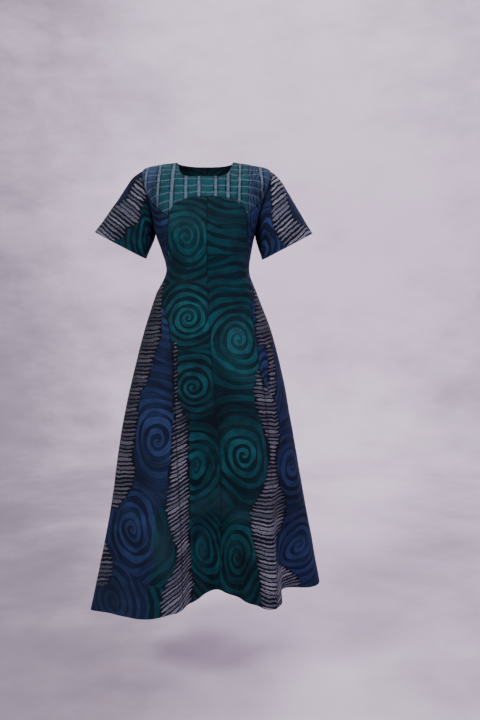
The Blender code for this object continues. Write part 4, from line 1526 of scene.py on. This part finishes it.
# Spirals of each piece: across and down, size across and down as shares, turn in degrees.
spiralRow = namedtuple("spiralRow", "across down wide tall turn")
spirals = {
    "centre_front_left": rowsOf(spiralRow, "wide tall turn",
        (-57, 246, 1.12, 1.2, 0), (-46, 470, 1, 1, 200), (-28, 664, 1, 1.1, 60),
        (-30, 901, 1.15, 1.45, 180), (-8, 1150, 0.8, 1.7, 20)),
    "centre_front_right": rowsOf(spiralRow, "wide tall turn",
        (110, 40, 1.35, 1.25, 40), (95, 537, 1.2, 1.25, 0), (114, 868, 1.25, 1.55, 190),
        (110, 1165, 1, 1.6, -14)),
    "side_front_left": rowsOf(spiralRow, "wide tall turn",
        (-150, 150, 1, 1.2, 90), (-130, 420, 0.9, 1.3, 30), (-137, 812, 1.15, 1.4, 0),
        (-238, 1060, 1.25, 1.4, 160), (-325, 1250, 1.2, 1.3, 60)),
    "side_front_right": rowsOf(spiralRow, "wide tall turn",
        (156, 186, 0.55, 1, 10), (145, 430, 1, 1.3, 120), (184, 645, 0.75, 1.2, 0),
        (300, 905, 1.15, 1.4, 200), (385, 1150, 1.25, 1.35, 40)),
    "back_left": rowsOf(spiralRow, "wide tall turn",
        (75, 140, 1.1, 1.1, 20), (52, 350, 1.05, 1.15, 190), (62, 580, 1.1, 1.2, 0),
        (75, 830, 1.2, 1.4, 140), (95, 1110, 1.15, 1.5, 10), (225, 600, 1, 1.2, 60),
        (270, 870, 1.15, 1.35, 0), (370, 1130, 1.25, 1.35, 170)),
    "back_right": rowsOf(spiralRow, "wide tall turn",
        (-80, 90, 1.1, 1.15, 80), (-50, 300, 1, 1.15, 0), (-70, 520, 1.1, 1.15, 210),
        (-65, 760, 1.15, 1.35, 30), (-90, 1020, 1.2, 1.45, 180), (-110, 1240, 1.1, 1.2, 0),
        (-235, 680, 1.05, 1.25, 0), (-290, 960, 1.15, 1.4, 150), (-390, 1200, 1.25, 1.35, 20)),
    "sleeve_left": rowsOf(spiralRow, "wide tall turn",
        (224, 65, 1, 1.25, 0), (-100, 120, 1.1, 1.1, 0)),
    "sleeve_right": rowsOf(spiralRow, "wide tall turn",
        (205, 105, 1.1, 1.35, 0), (-100, 100, 1.1, 1.1, 90)),
}


# The yoke's own print: a plaid on teal, navy towards the shoulders.
def plaidColour(flat, teal, navy):
    lines = useGroup("plaid", {"cloth": flat})
    worn = mixColours(layers["yokeWorn"], navy, dyes["paleTint"])
    colour = mixColours(lines["navy"], teal, worn)
    colour = mixColours(lines["dark"], colour, dyes["stroke"])
    colour = laidOn(colour, dyes["band"], lines["light"], layers["band"])
    return laidOn(colour, dyes["stroke"], lines["dark"], layers["bandOutline"])


# Spirals on the ground dye, with the bands of bars over them: the colour, and the ground alone.
def spiralColour(name, flat, sway, printed, bright, isTeal, ground):
    inputs = {"place": calcVector("MULTIPLY_ADD", sway, layers["sway"], flat), "nearest": (9.0,) * 3}
    for row in spirals[name]:
        inputs["centre"] = (row.across, -row.down, 0.0)
        inputs["turn"] = (0.0, 0.0, math.radians(row.turn))
        inputs["size"] = (row.wide, row.tall, 1.0)
        inputs["nearest"] = useGroup("nearer", inputs)["nearest"]
    spiral = useGroup("spiral", {"spiral": inputs["nearest"], "cloth": flat})
    strokeColour = mixColours(isTeal, dyes["navyStroke"], dyes["tealStroke"])
    deep = mixColours(isTeal, dyes["deepNavy"], dyes["deepTeal"])
    ground = laidOn(ground, deep, spiral["outlying"], layers["outlying"])
    washed = laidOn(ground, strokeColour, spiral["wash"], layers["wash"])
    spent = times(spiral["outlying"], minus(1.0, isTeal))
    laid = times(spiral["stroke"], calc("MULTIPLY_ADD", spent, layers["spentStroke"], layers["stroke"]))
    colour = mixColours(laid, washed, strokeColour)
    for name in ("rim", "hairline"):
        colour = laidOn(colour, dyes["stroke"], spiral[name], layers[name])
    ribs = useGroup("bars", {"inside": printed[0], "along": printed[1], "cloth": flat})
    bar = laidOn(mixColours(ribs["scratch"], *dyes["bar"]), dyes["paleTint"], ribs["core"], layers["core"])
    # The bars are dimmed by their band's lightness, which holds painted shade as well as their own tone.
    bar = mixColours(bright, dyes["ribGround"], bar)
    colour = mixColours(ribs["ground"], colour, dyes["ribGround"])
    return laidOn(colour, bar, ribs["bar"], layers["bar"]), ground


def batik(name):
    material, shader = newMaterial(name + " batik")
    tree = material.node_tree
    flat = addNode("ShaderNodeUVMap", {}, tree, uv_map="cloth").outputs[0]
    printed, edges, tone = (
        parts(addNode("ShaderNodeAttribute", {}, tree, attribute_name=label).outputs["Vector"])
        for label in ("print", "edges", "tone")
    )
    sway = calcVector("SUBTRACT", noiseAt(flat, 10.0, 0.3, output=1), (0.5, 0.5, 0.5))
    dye = useGroup("dye", {"cloth": flat})
    teal = mixColours(dye["patches"], *dyes["yokeTeal" if name == "yoke_front" else "teal"])
    navy = mixColours(dye["patches"], *dyes["navy"])
    if name == "yoke_front":
        colour, ground = plaidColour(flat, teal, navy), teal
    else:
        wander, soft = layers["border"]
        isTeal = ramp(calc("MULTIPLY_ADD", parts(sway)[0], wander, printed[2]), -soft, soft)
        ground = mixColours(isTeal, navy, teal)
        colour, ground = spiralColour(name, flat, sway, printed, tone[0], isTeal, ground)
    # Pale patches, partly paler print and partly a painted highlight, turn toward the ground and the
    # pale tint.
    colour = mixColours(tone[2], colour, mixColours(layers["pale"], ground, dyes["paleTint"]))
    # Dark patches, partly dark dye and partly painted shade in folds and under the arms, darken toward
    # the stroke colour.
    colour = mixColours(tone[1], colour, dyes["stroke"])
    colour = laidOn(colour, dyes["stroke"], dye["veins"], layers["veins"])
    colour = laidOn(colour, dyes["paleTint"], dye["specks"], layers["specks"])
    # Painted shade: dark lines along the seams and along the hem's turned edge, softer on the centre
    # pieces.
    hemLine = ramp(calc("ABSOLUTE", edges[1]), layers["hemReach"], 0.0)
    shade = greater(ramp(edges[0], *layers["seamShade"]), times(hemLine, layers["hemLine"]))
    paintedSeamShade = layers["paintedSeamShadeCentre" if name.startswith("centre") else "paintedSeamShade"]
    colour = laidOn(colour, dyes["stroke"], shade, paintedSeamShade)
    colour = laidOn(colour, dyes["paleTint"], edges[2], layers["inside"])
    weave = useGroup("weave", {"cloth": flat})["height"]
    bump = addNode("ShaderNodeBump", {**weaveBump, "Height": weave}).outputs[0]
    roughness = calc("MULTIPLY_ADD", dye["patches"], layers["patchy"], layers["rough"])
    setSockets(shader, {"Base Color": colour, "Normal": bump, "Roughness": roughness, **finish})
    return material


threadMaterial, threadInputs = newMaterial("cotton thread")
setSockets(threadInputs, {"Base Color": dyes["thread"], "Roughness": 0.6, "Specular IOR Level": 0.2})

makeCamera()
makeBackdrop()
makeLights()
print("stage ready")

bodyPiece("yoke_front", yokePlaces())
for sideName, sideSign in (("left", -1), ("right", 1)):
    bodyPiece("centre_front_" + sideName, centrePlaces(sideName))
    bodyPiece("side_front_" + sideName, sidePlaces(sideName, sideSign))
    bodyPiece("back_" + sideName, backPlaces(sideSign))
    sleevePiece("sleeve_" + sideName, sideSign)

longPieces = [name for name in made if name.startswith(("centre", "side", "back"))]
# name: pieces, the edge that the stitches follow, how far in from it
sewing = {
    "hem_stitches": (longPieces, "fromBottom", 0.0235),
    "cuff_stitches": (("sleeve_left", "sleeve_right"), "fromBottom", 0.0185),
    "neckline_stitches": (("yoke_front", "back_left", "back_right"), "fromTop", 0.0055),
}
for sewingName, (pieces, edge, inward) in sewing.items():
    stitchPiece(sewingName, [lineOnPiece(name, made[name][edge], inward) for name in pieces])
